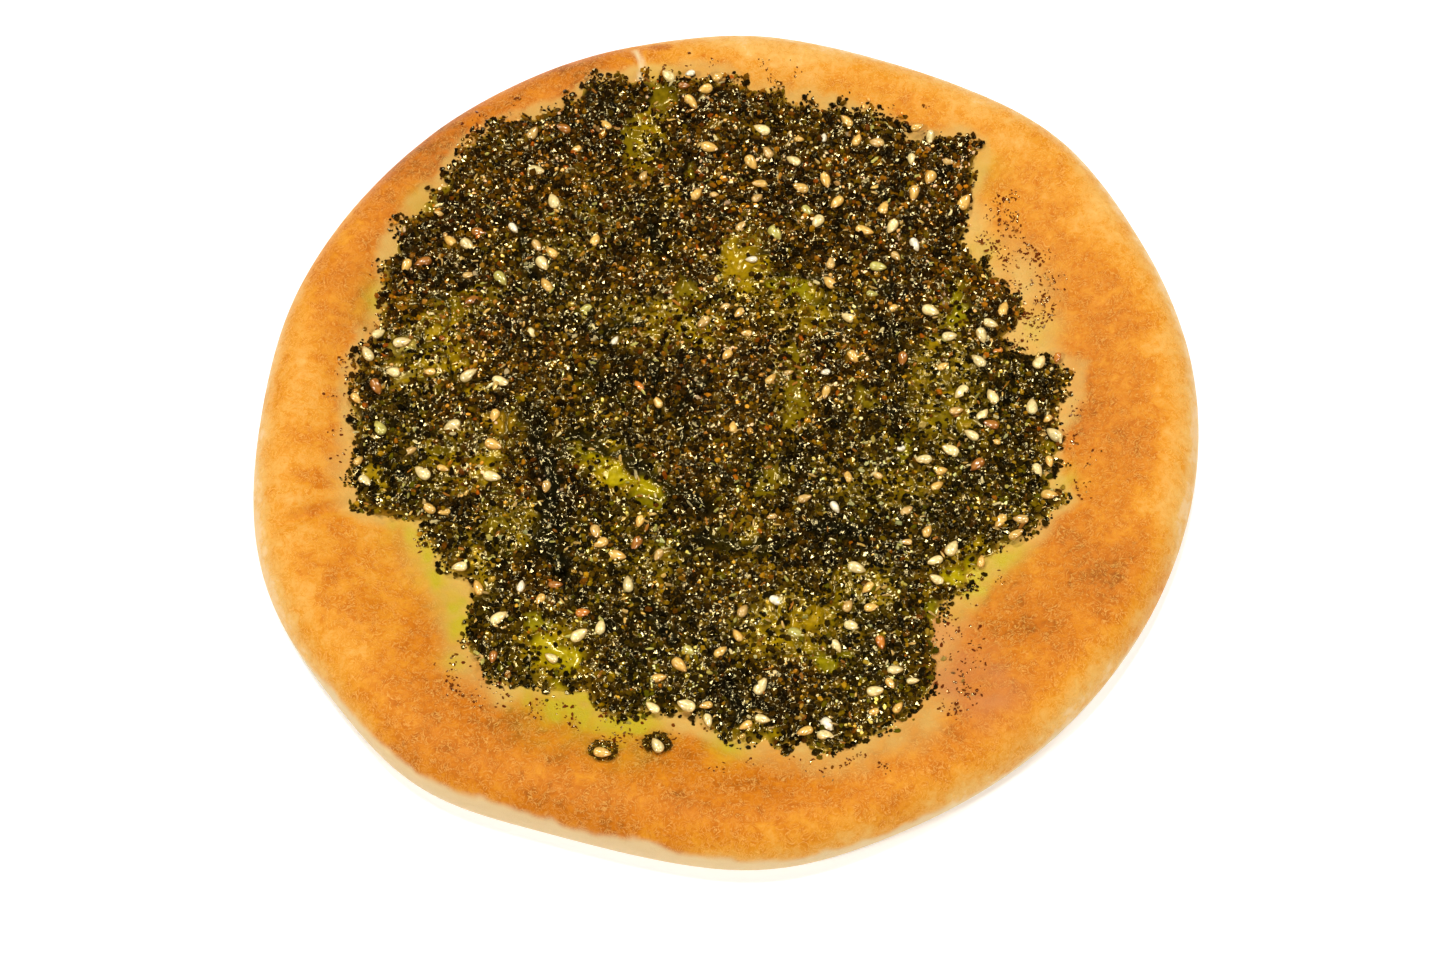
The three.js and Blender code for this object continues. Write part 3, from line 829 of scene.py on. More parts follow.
pasteTones = np.array([
    tone(16, 8, 0), tone(32, 18, 0), tone(52, 32, 0), tone(74, 49, 1), tone(96, 68, 1), tone(52, 39, 0),
])
# the furrow tone is near-black painted shade for the furrows and gaps
oilTone, furrowShadeTone, pasteEdgeTone = tone(152, 120, 2), tone(7, 7, 0), tone(168, 130, 36)


def pastePaint(x, y):
    # a tone for each grain, painted lighter on the heaps and darker between them as light and shade; then
    # oil, clear windows, furrows painted dark as shade, and a pale edge
    olive = 0.5 + 0.5 * layeredNoise(x, y, 9.0, 3, 149)
    _, mark = grains(x, y, toppingShape["grainCell"], 139)
    pick = np.clip((0.5 * olive + 0.5 * mark) * len(pasteTones), 0, len(pasteTones) - 1).astype(int)
    # painted light and shade: the paste is lighter on the heaps and darker in the hollows between them
    colour = pasteTones[pick] * mix(0.5, 1.3, ease(0.5 + 0.9 * heapLevel(x, y)))[..., None]
    shown = oilShare(x, y) * (0.6 + 0.6 * smoothNoise(x, y, 0.9, 223))
    colour = mix(colour, oilTone, np.clip(shown * 1.4, 0, 1)[..., None])
    clear, windowColour = windowShare(x, y)
    colour = mix(colour, windowColour, (0.92 * clear)[..., None])
    # painted shade: the furrows and gaps are painted near-black
    furrowShade = ease(furrowDepth(x, y) / 0.9)
    colour = mix(colour, furrowShadeTone, (0.92 * furrowShade)[..., None])
    angle, radius = np.arctan2(y, x), np.hypot(x, y)
    border = 1 - ease((raggedEdge(angle) - radius) / 1.8)
    return mix(colour, pasteEdgeTone, (0.95 * border)[..., None])


def insideTopping(x, y):
    return np.hypot(x, y) < raggedEdge(np.arctan2(y, x)) + 0.2


def toppingSurface():
    # a square grid that dips under the crust at the ragged edge
    x, y, rim, faces = clippedGrid(toppingShape["cell"], toppingShape["reach"], insideTopping)
    inwards = raggedEdge(np.arctan2(y, x)) - np.hypot(x, y)
    z = mix(breadHeight(x, y) - 0.08, toppingHeight(x, y), ease(inwards / toppingShape["feather"]))
    x, y = np.concatenate([x, x[rim], [0]]), np.concatenate([y, y[rim], [0]])
    z = np.concatenate([z, z[rim] - toppingShape["tucked"], [0.6]])
    return np.stack([x, y, z], axis=-1), faces


def makeTopping():
    points, faces = toppingSurface()
    x, y = points[:, 0], points[:, 1]
    calm = 0.55 * windowShare(x, y)[0]
    toppingPiece = makeMesh(
        "zaatar_layer", points, faces, paste, colours=pastePaint(x, y), values={"calm": calm}
    )
    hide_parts("zaatar_topping")
    print("topping made:", len(toppingPiece.data.polygons), "faces")


makeTopping()


clumpShape = {"steps": 48, "rings": 14, "thickness": 1.5, "grain": 0.9, "crumbs": 150}


def makeClump(node):
    # a low lens over the node's footprint, its outline and top broken up by noise
    low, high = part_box(node)
    middleX, middleY = (low.x + high.x) / 2 / mm, (low.y + high.y) / 2 / mm
    halfX, halfY = (high.x - low.x) / 2 / mm, (high.y - low.y) / 2 / mm
    angle = np.arange(clumpShape["steps"]) * 2 * np.pi / clumpShape["steps"]
    share = np.linspace(0, 1, clumpShape["rings"])[:, None]
    edge = 0.80 + 0.20 * smoothNoise(3 * np.cos(angle) + middleX, 3 * np.sin(angle) + middleY, 1.6, 151)
    x = middleX + halfX * share * edge * np.cos(angle)
    y = middleY + halfY * share * edge * np.sin(angle)
    dome = np.sqrt(1 - share ** 2 * 0.999)
    rough = 0.75 + 0.35 * smoothNoise(x, y, 1.5, 157) + 0.25 * grains(x, y, clumpShape["grain"], 163)[0]
    z = breadHeight(x, y) + 0.05 + clumpShape["thickness"] * dome * rough
    under = np.array([0.9, 0.0])[:, None] * edge
    underX = middleX + halfX * under * np.cos(angle)
    underY = middleY + halfY * under * np.sin(angle)
    x, y = np.concatenate([x, underX]), np.concatenate([y, underY])
    z = np.concatenate([z, breadHeight(underX, underY) - 0.3])
    pick = (grains(x, y, clumpShape["grain"], 163)[1] * (len(pasteTones) - 1)).astype(int)
    colours = alongRings(0.8 * pasteTones[pick])
    faces = closedGrid(*x.shape)
    piece = makeMesh(node + "_fine", ringPoints(x, y, z), faces, paste, colours=colours)
    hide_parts(node)
    return middleX, middleY, halfX, halfY


clumps = [makeClump(node) for node in ("zaatar_clump_left", "zaatar_clump_right")]
print("clumps made")


seedShape = {
    "around": 20, "along": 13, "length": 3.3, "width": 1.85, "thickness": 1.05,
    "frameSize": 1.02,  # of the frame's seeds, as a share of the full size
    "clumpSize": 0.95,
    "frameLift": 0.38,  # how far the seed's middle lies above the ground
    "smallLift": 0.28,
    "clumpLift": 0.3,
}
seedTones = {
    "p": tone(248, 222, 150), "g": tone(236, 186, 92), "b": tone(176, 110, 38), "n": tone(198, 184, 92),
    "o": tone(216, 132, 46), "w": tone(255, 242, 204), "t": tone(220, 176, 98),
}
# tones of the frame's seeds, in the order of their numbers
frameSeedTones = "pppbpgnpbppppnpgp" "pgggggg" "pnggggg" "npgpppppppp" "bg" "ppnpppp" "gpppg"

# more seeds: x, y, heading, tone, size
moreSeeds = [
    (-52.5, 38, -48, "g", 0.9), (-47, 39.5, -20, "b", 0.9), (-60.5, 32.5, 70, "g", 0.9),
    (-36, 36.5, -60, "t", 0.9), (-33.2, 35.2, -45, "g", 0.8), (-40.5, 40.5, -55, "w", 0.8),
    (-25, 38, 65, "g", 0.9), (-31.5, 62.5, -15, "b", 0.9), (-23.5, 64, -50, "g", 0.9),
    (-37.3, 61, 60, "t", 0.9), (-29, 58, 30, "g", 0.7), (-48, 25, 30, "b", 0.9),
    (-48.7, 30.6, 10, "t", 0.7), (-26.6, 23, 20, "n", 0.8), (-21, 16.4, 60, "w", 0.6),
    (-16.5, 7, -60, "o", 0.8), (-13, 3.7, -60, "g", 0.8), (-36.5, 18, -60, "p", 0.7),
    (-16, 51.7, 60, "t", 0.7), (-54.7, 43.5, 0, "t", 0.6), (6.0, 50.2, 0, "g", 0.9),
    (5.6, 47, 40, "t", 0.8), (7.6, 57, -60, "t", 0.8), (-4.3, 71, 15, "g", 0.9), (-1.8, 73, 35, "g", 0.8),
    (-11.5, 73, -40, "p", 0.9), (-7.3, 73.5, 15, "w", 0.6), (-8.4, 71.4, 0, "b", 0.7),
    (-6, 48, 50, "g", 0.9), (-2.5, 48, -25, "t", 0.7), (12.5, 55.5, -35, "p", 0.9),
    (15, 44.2, -50, "n", 0.8), (13.7, 60.3, 0, "g", 0.6), (18.4, 61, 80, "w", 0.6),
    (22.8, 64.3, -50, "g", 0.9), (24.8, 60.3, 60, "g", 0.9), (28.5, 59.5, -10, "t", 0.9),
    (31, 40.6, 60, "p", 0.9), (31.6, 34.4, -45, "t", 0.7), (35.2, 36.5, -70, "w", 0.9),
    (35, 55.2, 90, "p", 0.8), (38.6, 59.3, 80, "p", 0.9), (36.2, 61.4, 15, "g", 0.8),
    (42, 54.2, -10, "t", 0.7), (27, 26, 0, "n", 0.7), (30.6, 23.3, 30, "g", 0.8),
    (19, 28.8, -50, "g", 0.9), (19.3, 33, 85, "t", 0.8), (22.4, 21.4, -30, "p", 0.9),
    (23.2, 12.9, -60, "g", 0.9), (-4.6, 20.4, 45, "t", 0.9), (2.1, 22, 50, "g", 0.8),
    (-0.6, 23.5, 20, "t", 0.6), (3.4, 17.7, 0, "g", 0.7), (-0.2, 13.2, 55, "g", 0.8),
    (7.9, 8.4, 50, "g", 0.8), (11.2, 9.6, 20, "t", 0.6), (18, 9.6, 15, "w", 0.6), (18, 5.4, 75, "g", 0.8),
    (2.5, 41, 55, "t", 0.8), (4.4, 34, -5, "w", 0.7), (32.4, 13, 80, "b", 0.9),
    (-68.4, 3.6, -50, "g", 0.8), (-62, 10, -20, "p", 0.9), (-65, 18, 35, "p", 0.9),
    (-55.2, 9.8, 0, "g", 0.7), (-43, 1, 72, "g", 0.8), (-58, -6.5, 30, "t", 0.7),
    (-52, -10.2, -20, "g", 0.7), (-66, -13, -45, "p", 0.9), (-67.4, -9, 50, "g", 0.7),
    (-54.5, -17.8, -35, "g", 0.9), (-51.6, -18.4, 10, "g", 0.7), (-33.2, -13.3, 80, "t", 0.8),
    (-48.4, -29.6, 10, "p", 0.9), (-45, -33.4, -70, "g", 0.9), (-41.8, -47.6, 80, "b", 0.8),
    (-37.2, -33.7, 80, "w", 0.7), (-33.7, -36.2, 65, "g", 0.8), (-31, -33.4, 5, "b", 0.8),
    (-22.8, -41.6, 80, "p", 0.9), (-26, -39, 10, "o", 0.8), (-31.5, -47.4, -30, "p", 0.8),
    (-24, -22.9, -80, "t", 0.9), (-23, -25.4, 30, "g", 0.9), (-16.6, -25.4, 60, "b", 0.9),
    (-12.6, -27.6, 60, "t", 0.8), (-16, -21, 75, "g", 0.8), (-12.3, -51.4, 10, "g", 0.8),
    (-7, -46.3, -40, "n", 0.8), (-13.4, -56.9, -35, "p", 0.9), (-4.0, -56.2, 15, "g", 0.8),
    (-3.6, -59.2, -80, "p", 0.8), (49, 20.3, -20, "p", 0.9), (50, 14.6, 30, "o", 0.7),
    (41.2, 17.2, 10, "p", 0.9), (46.4, 12.2, -45, "p", 1.0), (39.8, 11, 30, "g", 0.7),
    (61, 12.6, 70, "o", 0.7), (42, 1.8, 10, "t", 0.8), (46.8, 0.9, 50, "p", 0.9),
    (58.7, 0.2, 40, "g", 0.6), (44.6, -3.2, -35, "p", 0.9), (48.2, -1.2, -15, "b", 0.9),
    (49, -4.8, 0, "g", 0.6), (38.8, -10.8, 15, "g", 0.8), (38, -13.8, 35, "g", 0.8),
    (31.5, -5.9, 20, "w", 0.6), (32.4, -18.4, 35, "t", 0.8), (21.8, -11.7, -80, "g", 0.8),
    (27.1, -11.4, -35, "t", 0.7), (56.5, -10.2, -70, "p", 0.9), (58.7, -8.6, -80, "g", 0.7),
    (49.3, -20.6, 50, "g", 0.9), (52.9, -20.4, -10, "t", 0.9), (52, -23.4, 25, "g", 0.9),
    (0.9, -1.8, 85, "g", 0.8), (37.2, -28.4, 20, "p", 0.9), (37.4, -32, -30, "p", 0.9),
    (45.6, -28.2, 80, "g", 0.7), (36, -22.6, 60, "g", 0.8), (32.2, -24.8, 0, "t", 0.6),
    (25, -34, 45, "g", 0.8), (25.6, -37.6, 0, "g", 0.8), (21.4, -37.4, 60, "t", 0.8),
    (22, -41.4, -15, "p", 0.9), (19.2, -45.4, -60, "p", 0.8), (8.6, -36.5, -25, "w", 0.9),
    (1.6, -43.2, -60, "g", 0.8), (2.6, -38.6, 60, "t", 0.8), (-1.4, -46.4, 40, "g", 0.8),
    (6, -59, -10, "p", 0.9), (3, -60.2, 30, "g", 0.8), (13.4, -61.6, 20, "g", 0.9),
    (17.4, -60.4, -60, "w", 0.9), (29.6, -50, 5, "p", 0.9), (32.6, -52.4, 0, "p", 0.7),
    (28.6, -52.8, -60, "g", 0.7), (29.8, -57.8, 55, "g", 0.8), (25.4, -58.6, 20, "g", 0.7),
    (27.1, -44.6, -75, "o", 0.8), (7.9, -19.8, 15, "t", 0.6), (13.9, -15.9, 20, "t", 0.8),
    (19.4, -17.7, -60, "w", 0.8),
]


def seedSurface(length, width, thickness, around, along):
    # rings along the seed: half width is the root of 1 - s squared, narrowed towards one end, on a flat oval
    s = -np.cos(np.linspace(0, np.pi, along))[:, None]
    turn = np.arange(around) * 2 * np.pi / around
    half = np.sqrt(np.clip(1 - s ** 2, 0, 1)) * (1 - 0.30 * s - 0.12 * s ** 3)
    keel = 1 + 0.05 * np.cos(2 * turn)
    x = s * length / 2 + 0 * turn
    y = half * width / 2 * np.cos(turn) * keel
    z = half * thickness / 2 * np.sin(turn) * (1 - 0.15 * s)
    return x, y, z, s + 0 * turn, turn + 0 * s


def seedPoints(dice, middle, forward, upward, colour, size):
    # one seed with its long axis forward; its pointed end is darker, and its edges are darker partly as the
    # hull's own golden-brown rim and partly as painted shade where the sides turn away
    length = seedShape["length"] * size * dice.uniform(0.94, 1.06)
    width = seedShape["width"] * size * dice.uniform(0.92, 1.08)
    thickness = seedShape["thickness"] * size * dice.uniform(0.9, 1.1)
    x, y, z, s, turn = seedSurface(length, width, thickness, seedShape["around"], seedShape["along"])
    z = z + dice.uniform(-0.05, 0.10) * (1 - s ** 2)
    flip = 1 if dice.uniform() < 0.5 else -1
    side = np.cross(upward, forward)
    local = ringPoints(x * flip, y * flip, z)
    points = local[:, :1] * forward + local[:, 1:2] * side + local[:, 2:] * upward + middle
    tip, turn = alongRings(s), alongRings(turn)
    level = 1 - 0.30 * ease((tip - 0.35) / 0.6) + 0.05 * np.cos(turn * 2)
    warmthAndShade = mix(np.ones(3), np.array([1.0, 0.80, 0.55]), ease((tip - 0.3) / 0.7)[:, None] * 0.7)
    # painted shade in part: the edges darken as the surface turns away, over the hull's own browner rim
    rim = ease((np.abs(np.cos(turn)) - 0.35) / 0.6)
    rim[[0, -1]] = 0.6
    warmthAndShade = warmthAndShade * mix(np.ones(3), np.array([0.50, 0.32, 0.10]), (dice.uniform(0.35, 0.75) * rim)[:, None])
    tint = colour * dice.uniform(0.85, 1.05) * level[:, None] * warmthAndShade
    return points, tint


def placeAxes(x, y, heading):
    # the way a seed points and the way the topping faces under it
    reach = 1.4
    ground = toppingHeight(
        np.array([x + reach, x - reach, x, x, x]), np.array([y, y, y + reach, y - reach, y]), fine=False
    )
    right, left, back, front, middle = ground
    upward = np.array([-(right - left) / (2 * reach), -(back - front) / (2 * reach), 1.0])
    upward[:2] *= 0.8  # a seed leans a little less than the ground does
    upward /= np.linalg.norm(upward)
    turn = math.radians(heading)
    forward = np.array([math.cos(turn), math.sin(turn), 0.0])
    forward -= upward * forward.dot(upward)
    return forward / np.linalg.norm(forward), upward, max(middle, (ground.mean() + middle) / 2)


def frameSeedAxes(node):
    # middle and long axis of a seed of the frame, from its points
    points = nodePoints(node)
    middle = (points.min(0) + points.max(0)) / 2
    values, vectors = np.linalg.eigh(np.cov((points - points.mean(0)).T))
    return middle, vectors[:, 2]


seedSpots = []  # x, y, heading and size of every seed, so that no crumb is put in its place


def underSeed(x, y):
    covered = np.zeros(x.shape, bool)
    for seedX, seedY, heading, size in seedSpots:
        halfLength, halfWidth = seedShape["length"] * size / 2, seedShape["width"] * size / 2
        covered |= ovalShare(x, y, seedX, seedY, halfLength, halfWidth, heading) > 0.05
    return covered


seedDice = np.random.default_rng(23)
seedGrid = closedGrid(seedShape["along"], seedShape["around"])


def makeFrameSeeds():
    # one piece for each seed of the frame, laid on the topping where that seed is
    nodes = sorted(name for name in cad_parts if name.startswith("sesame_seed_"))
    size = seedShape["frameSize"]
    for node, letter in zip(nodes, frameSeedTones):
        (x, y, _), axis = frameSeedAxes(node)
        heading = math.degrees(math.atan2(axis[1], axis[0]))
        forward, upward, ground = placeAxes(x, y, heading)
        middle = np.array([x, y, ground + seedShape["frameLift"]])
        seedSpots.append((x, y, heading, size))
        points, tint = seedPoints(seedDice, middle, forward, upward, seedTones[letter], size)
        piece = makeMesh(node + "_fine", points, seedGrid, hull, colours=tint)
        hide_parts(node)
    return len(nodes)


def makeSmallSeeds():
    # the listed seeds and one on each stray clump, joined in one piece
    seeds = []
    for x, y, heading, letter, size in moreSeeds:
        forward, upward, ground = placeAxes(x, y, heading)
        middle = np.array([x, y, ground + seedShape["smallLift"]])
        seedSpots.append((x, y, heading, size))
        seeds.append(seedPoints(seedDice, middle, forward, upward, seedTones[letter], size))
    for (middleX, middleY, _, _), heading, letter in zip(clumps, (-10, -60), "gp"):
        turn = math.radians(heading)
        forward, upward = np.array([math.cos(turn), math.sin(turn), 0.0]), np.array([0, 0, 1.0])
        ground = float(breadHeight(np.array([middleX]), np.array([middleY]))[0]) + clumpShape["thickness"]
        middle = np.array([middleX, middleY - 1, ground + seedShape["clumpLift"]])
        size = seedShape["clumpSize"]
        seeds.append(seedPoints(seedDice, middle, forward, upward, seedTones[letter], size))
    points, tints = (np.concatenate(parts) for parts in zip(*seeds))
    shifts = (np.arange(len(seeds)) * len(seeds[0][0]))[:, None, None]
    faces = [(each[None] + shifts).reshape(-1, each.shape[1]) for each in seedGrid]
    makeMesh("sesame_seeds_small", points, faces, hull, colours=tints)
    return len(seeds)


seedCount = makeFrameSeeds() + makeSmallSeeds()
print("seeds made:", seedCount)


crumbShape = {
    "spacing": 0.56,  # between neighbouring crumbs
    "small": (0.46, 0.78),
    "large": (0.85, 1.50),
    "largeShare": 0.42,
    "tilt": 24.0,  # degrees
    "lift": (-0.12, 0.30),  # how far a crumb's middle lies above the ground, as a share of its size
    "mostTriangles": 190000,  # in one piece
}
# the two palest tones are painted highlights standing in for glints on the oil, and also pale specks of salt
# and sesame
crumbTones = np.array([
    tone(16, 9, 0), tone(28, 17, 0), tone(42, 27, 0), tone(58, 39, 1), tone(78, 55, 1), tone(92, 52, 4),
    tone(96, 70, 3), tone(88, 76, 3), tone(120, 92, 4), tone(150, 82, 14), tone(158, 112, 22),
    tone(202, 156, 62), tone(242, 208, 132), tone(252, 238, 204),
])
crumbWeights = np.array([18, 18, 16, 12, 10, 2.4, 8, 4, 5, 1.0, 3, 2.6, 2.4, 2.8])

# a lump of twenty sides for the large crumbs and a grain of eight for the small ones
golden = (1 + math.sqrt(5)) / 2
lumpPoints = np.array([
    (-1, golden, 0), (1, golden, 0), (-1, -golden, 0), (1, -golden, 0), (0, -1, golden), (0, 1, golden),
    (0, -1, -golden), (0, 1, -golden), (golden, 0, -1), (golden, 0, 1), (-golden, 0, -1), (-golden, 0, 1),
]) / math.sqrt(1 + golden ** 2)
lumpFaces = np.array([
    (0, 11, 5), (0, 5, 1), (0, 1, 7), (0, 7, 10), (0, 10, 11), (1, 5, 9), (5, 11, 4), (11, 10, 2),
    (10, 7, 6), (7, 1, 8), (3, 9, 4), (3, 4, 2), (3, 2, 6), (3, 6, 8), (3, 8, 9), (4, 9, 5), (2, 4, 11),
    (6, 2, 10), (8, 6, 7), (9, 8, 1),
])
grainPoints = np.array([(1, 0, 0), (-1, 0, 0), (0, 1, 0), (0, -1, 0), (0, 0, 1), (0, 0, -1)], float)
grainFaces = np.array([
    (0, 2, 4), (2, 1, 4), (1, 3, 4), (3, 0, 4), (2, 0, 5), (1, 2, 5), (3, 1, 5), (0, 3, 5),
])
lump, grain = (lumpPoints, lumpFaces), (grainPoints, grainFaces)


def levelTurns(dice, count, tilt):
    # a random heading, then a small tilt about the new level axes
    heading = dice.uniform(0, 2 * np.pi, count)
    leanX, leanY = np.radians(dice.normal(0, tilt, (2, count)))
    cosine, sine, zero, one = np.cos(heading), np.sin(heading), np.zeros(count), np.ones(count)
    spin = np.stack([cosine, -sine, zero, sine, cosine, zero, zero, zero, one], axis=-1)
    sideways, onwards = np.sin(leanX), np.sin(leanY)
    lean = np.stack([one, zero, onwards, zero, one, -sideways, -onwards, sideways, one], axis=-1)
    return lean.reshape(count, 3, 3) @ spin.reshape(count, 3, 3)


def scatterShapes(dice, basePoints, baseFaces, places, sizes, stretch):
    # one roughened, stretched and turned copy of the base shape at each place
    count = len(places)
    rough = dice.uniform(0.72, 1.16, (count, len(basePoints), 1))
    local = basePoints[None] * rough * stretch[:, None, :] * sizes[:, None, None] / 2
    turns = levelTurns(dice, count, crumbShape["tilt"])
    points = np.einsum("nij,npj->npi", turns, local) + places[:, None, :]
    faces = baseFaces[None] + (np.arange(count) * len(basePoints))[:, None, None]
    return points.reshape(-1, 3), faces.reshape(-1, 3)


def makeCrumbs(name, dice, places, sizes, colours, base, least=(0.8, 0.6, 0.4), most=(1.3, 1.0, 0.75)):
    # flat-sided crumbs, stretched by random shares between least and most, in as many pieces as they need
    basePoints, baseFaces = base
    stretch = dice.uniform(least, most, (len(places), 3))
    perPiece = crumbShape["mostTriangles"] // len(baseFaces)
    for number, start in enumerate(range(0, len(places), perPiece), 1):
        part = slice(start, start + perPiece)
        points, faces = scatterShapes(dice, basePoints, baseFaces, places[part], sizes[part], stretch[part])
        tint = np.repeat(colours[part], len(basePoints), axis=0)
        makeMesh(f"{name}_{number}", points, [faces], crumb, smooth=False, colours=tint)


def evenPlaces(dice, spacing):
    # one place in each square of a grid, at a random spot in it
    line = np.arange(-toppingShape["reach"], toppingShape["reach"], spacing)
    x, y = (a.reshape(-1) for a in np.meshgrid(line, line))
    return x + dice.uniform(0, spacing, x.size), y + dice.uniform(0, spacing, x.size)


def crumbColours(dice, x, y):
    # picked by weight, then pulled towards tan at the back and olive at the front, with slow noise; then
    # painted lighter on the heaps and darker in the hollows and furrows as shade
    luck = 0.62 * dice.uniform(0, 1, len(x)) + 0.38 * (0.5 + 0.5 * smoothNoise(x, y, 1.7, 257))
    rank = np.argsort(np.argsort(luck)) / len(x)
    pick = np.searchsorted(np.cumsum(crumbWeights) / crumbWeights.sum(), rank)
    colour = crumbTones[np.minimum(pick, len(crumbTones) - 1)] * dice.uniform(0.75, 1.3, (len(x), 1))
    olive = ease(0.45 - y / 95 + 0.8 * layeredNoise(x, y, 12.0, 2, 173))
    colour = mix(colour * np.array([1.16, 0.83, 0.6]), colour * np.array([0.92, 1.0, 0.5]), olive[:, None])
    # painted light and shade: lighter on the heaps, darker in the hollows and down in the furrows
    level = mix(0.42, 1.4, ease(0.5 + 0.9 * heapLevel(x, y)))
    return colour * (level * (1 - 0.7 * ease(furrowDepth(x, y) / 0.8)))[:, None]


def coverTopping(dice):
    # crumbs thin out past the edge in little drifts, in the clear oil and down in the furrows
    x, y = evenPlaces(dice, crumbShape["spacing"])
    inwards = raggedEdge(np.arctan2(y, x)) - np.hypot(x, y)
    drift = inwards + 1.6 * smoothNoise(x, y, 2.6, 227)
    wanted = 0.88 * ease((drift + 1.7) / 1.7) * (1 - 0.80 * windowShare(x, y)[0])
    wanted = wanted * (1 - 0.72 * ease(furrowDepth(x, y))) * (1 - 0.78 * oilShare(x, y))
    chosen = (inwards > -2.5) & (dice.uniform(0, 1, x.size) < wanted) & ~underSeed(x, y)
    x, y, inwards = x[chosen], y[chosen], inwards[chosen]
    large = dice.uniform(0, 1, x.size) < crumbShape["largeShare"]
    largeSizes = dice.uniform(*crumbShape["large"], x.size)
    sizes = np.where(large, largeSizes, dice.uniform(*crumbShape["small"], x.size))
    z = mix(breadHeight(x, y) + 0.03, toppingHeight(x, y), ease(inwards / toppingShape["feather"]))
    z = z + sizes * dice.uniform(*crumbShape["lift"], x.size)
    places = np.stack([x, y, z], axis=-1)
    colours = crumbColours(dice, x, y)
    sizes = np.where(colours.max(axis=1) > 0.5, 0.62 * sizes, sizes)  # the palest specks, painted highlights and pale bits alike, are small
    makeCrumbs("crumbs_large", dice, places[large], sizes[large], colours[large], lump)
    makeCrumbs("crumbs_small", dice, places[~large], sizes[~large], colours[~large], grain)
    print("crumbs made:", len(x))


# stray flakes on the bare crust: x, y, half length, half width, heading, how many
sprinkles = [
    (55, 26, 7, 12, -10, 420), (52, 41, 5, 7, 0, 160), (42, -44, 4, 9, 0, 90), (40, -56, 5, 4, 0, 60),
    (-71, 4, 2.2, 16, 0, 60), (-46, -52, 7, 5, 0, 70), (0, 75, 16, 2.0, 0, 50), (-20, -61, 11, 4, 0, 90),
    (64, -4, 3, 14, 0, 60), (12, -68, 18, 2.4, 0, 60), (-34, -57, 8, 3, 0, 50), (-55, -26, 6, 4, 0, 40),
    (46, -30, 8, 4, 30, 40), (32, 64, 12, 4, 0, 40), (-65, 28, 3, 8, 0, 40), (-45, 65, 12, 2.4, 40, 30),
]
flakeTone, clumpTone = tone(116, 46, 10), tone(92, 58, 6)


def crustFlakes(dice, middleX, middleY, halfLength, halfWidth, heading, count):
    # small families of flakes, each gathered round its own spot in an oval, and none of them on the topping
    turn = math.radians(heading)
    families = max(count // 5, 1)
    away, way = np.sqrt(dice.uniform(0, 1, families)), dice.uniform(0, 2 * np.pi, families)
    family = dice.integers(0, families, count)
    spread = dice.normal(0, 0.75, (2, count))
    along = (away * np.cos(way) * halfLength)[family] + spread[0]
    across = (away * np.sin(way) * halfWidth)[family] + spread[1]
    x = middleX + along * math.cos(turn) - across * math.sin(turn)
    y = middleY + along * math.sin(turn) + across * math.cos(turn)
    outside = np.hypot(x, y) > raggedEdge(np.arctan2(y, x)) - 0.5
    x, y = x[outside], y[outside]
    sizes = dice.uniform(0.22, 0.5, len(x)) + 0.5 * dice.uniform(0, 1, len(x)) ** 4
    return np.stack([x, y, breadHeight(x, y) + sizes * 0.1], axis=-1), sizes


def clumpCrumbs(dice, middleX, middleY, halfX, halfY):
    # spread evenly over the clump's dome
    count = clumpShape["crumbs"]
    away, way = np.sqrt(dice.uniform(0, 1, count)), dice.uniform(0, 2 * np.pi, count)
    x, y = middleX + away * halfX * 0.95 * np.cos(way), middleY + away * halfY * 0.95 * np.sin(way)
    sizes = dice.uniform(0.35, 0.75, count)
    dome = clumpShape["thickness"] * np.sqrt(1 - 0.9 * away ** 2)
    return np.stack([x, y, breadHeight(x, y) + dome], axis=-1), sizes


def sprinkleCrumbs(dice):
    parts = [crustFlakes(dice, *sprinkle) for sprinkle in sprinkles]
    parts += [clumpCrumbs(dice, *clump) for clump in clumps]
    places, sizes = (np.concatenate(part) for part in zip(*parts))
    colours = crumbColours(dice, places[:, 0], places[:, 1])
    flakes = len(places) - clumpShape["crumbs"] * len(clumps)
    colours[:flakes] = mix(colours[:flakes], flakeTone, 0.7)
    colours[flakes:] = mix(colours[flakes:], clumpTone, 0.4)
    makeCrumbs("crumbs_sprinkled", dice, places, sizes, colours, lump, (0.8, 0.4, 0.2), (1.7, 0.9, 0.45))
    print("sprinkled crumbs made:", len(places))


sliverShape = {"count": 900, "length": (0.7, 2.0)}


def makeSlivers(dice):
    # slivers of hull and herb, lying anywhere on the topping
    x, y = dice.uniform(-72, 66, 4000), dice.uniform(-68, 76, 4000)
    inside = np.hypot(x, y) < raggedEdge(np.arctan2(y, x)) - 0.5
    x, y = x[inside][:sliverShape["count"]], y[inside][:sliverShape["count"]]
    sizes = dice.uniform(*sliverShape["length"], len(x))
    places = np.stack([x, y, toppingHeight(x, y) + 0.25], axis=-1)
    tones = np.array([seedTones[letter] for letter in "pgntb"])
    colours = tones[dice.integers(0, len(tones), len(x))] * dice.uniform(0.45, 0.95, (len(x), 1))
    makeCrumbs("slivers", dice, places, sizes, colours, lump, (0.9, 0.22, 0.14), (1.2, 0.45, 0.30))
    print("slivers made:", len(x))


crumbDice = np.random.default_rng(5)
coverTopping(crumbDice)
sprinkleCrumbs(crumbDice)
makeSlivers(crumbDice)


studio = {
    "target": (-1.5, -10.2, 5.0),  # mm
    "elevation": 64.0,
    "distance": 624.0,
    "lens": 85.0,
    "sensorWidth": 36.0,
    "floorHalf": 12.0,  # metres
    "floorDrop": 0.05,  # just clear of the base
    "floorGlow": 0.26,  # a faint light of its own, so that the shadow on it stays pale
    "worldLevel": 0.06,
    "backdropLevel": 0.95,
}
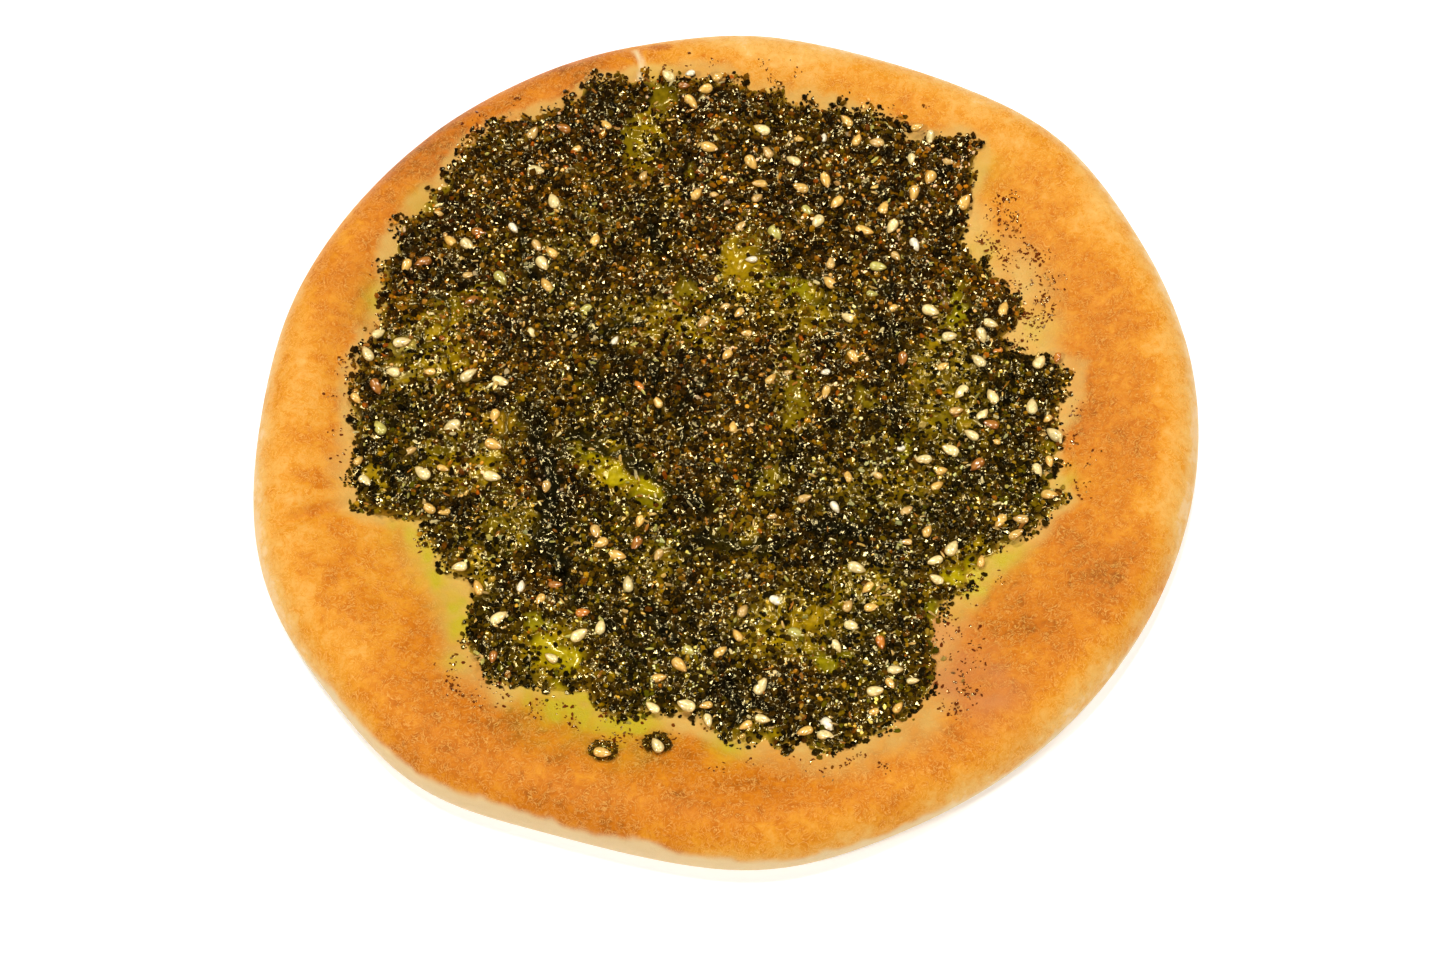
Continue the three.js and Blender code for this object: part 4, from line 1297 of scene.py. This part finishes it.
# distant lamps: name, strength, degrees across, direction they shine from
lamps = [
    ("lamp_back_left", 1.10, 6, (-0.42, 0.55, 1.00)), ("lamp_back_right", 0.92, 12, (0.58, 0.42, 1.00)),
    ("lamp_front_left", 1.15, 8, (-0.65, -0.45, 0.90)), ("lamp_front_right", 1.05, 12, (0.50, -0.70, 0.95)),
    ("lamp_high", 0.95, 5, (-0.10, 0.20, 1.20)),
]


def makeFloor():
    mesh = bpy.data.meshes.new("floor")
    half, level = studio["floorHalf"], -studio["floorDrop"] * mm
    corners = [(-half, -half, level), (half, -half, level), (half, half, level), (-half, half, level)]
    mesh.from_pydata(corners, [], [(0, 1, 2, 3)])
    floor = bpy.data.objects.new("floor", mesh)
    bpy.context.scene.collection.objects.link(floor)
    material, _, shader = newMaterial("pale_floor")
    shader.inputs["Base Color"].default_value = (0.93, 0.93, 0.93, 1)
    shader.inputs["Roughness"].default_value = 0.9
    shader.inputs["Specular IOR Level"].default_value = 0.1
    shader.inputs["Emission Color"].default_value = (1, 1, 1, 1)
    shader.inputs["Emission Strength"].default_value = studio["floorGlow"]
    mesh.materials.append(material)


def aimAt(thing, place, target):
    thing.location = place
    thing.rotation_euler = (Vector(target) - Vector(place)).to_track_quat("-Z", "Y").to_euler()


def makeLight(name, strength, across, place):
    light = bpy.data.lights.new(name, "SUN")
    light.energy = strength
    light.angle = math.radians(across)
    lamp = bpy.data.objects.new(name, light)
    bpy.context.scene.collection.objects.link(lamp)
    aimAt(lamp, place, (0, 0, 0))


def makeWorld():
    # dim for the light on the bread, pale where the backdrop itself is seen
    world = bpy.data.worlds.new("studio")
    world.use_nodes = True
    tree = world.node_tree
    backdrop = tree.nodes["Background"]
    backdrop.inputs["Color"].default_value = (1, 1, 1, 1)
    seen = addNode(tree, "ShaderNodeLightPath").outputs["Is Camera Ray"]
    level = rangeNode(tree, seen, 0.0, 1.0, studio["worldLevel"], studio["backdropLevel"])
    tree.links.new(level, backdrop.inputs["Strength"])
    bpy.context.scene.world = world


def makeCamera():
    camera = bpy.data.objects.new("camera", bpy.data.cameras.new("camera"))
    bpy.context.scene.collection.objects.link(camera)
    camera.data.lens, camera.data.sensor_width = studio["lens"], studio["sensorWidth"]
    camera.data.clip_start = 0.01
    target = Vector(studio["target"]) * mm
    elevation = math.radians(studio["elevation"])
    back = Vector((0, -math.cos(elevation), math.sin(elevation))) * studio["distance"] * mm
    aimAt(camera, target + back, target)
    bpy.context.scene.camera = camera


makeFloor()
makeWorld()
for lamp in lamps:
    makeLight(*lamp)
bpy.context.scene.view_settings.view_transform = "Standard"
makeCamera()

print("scene ready")
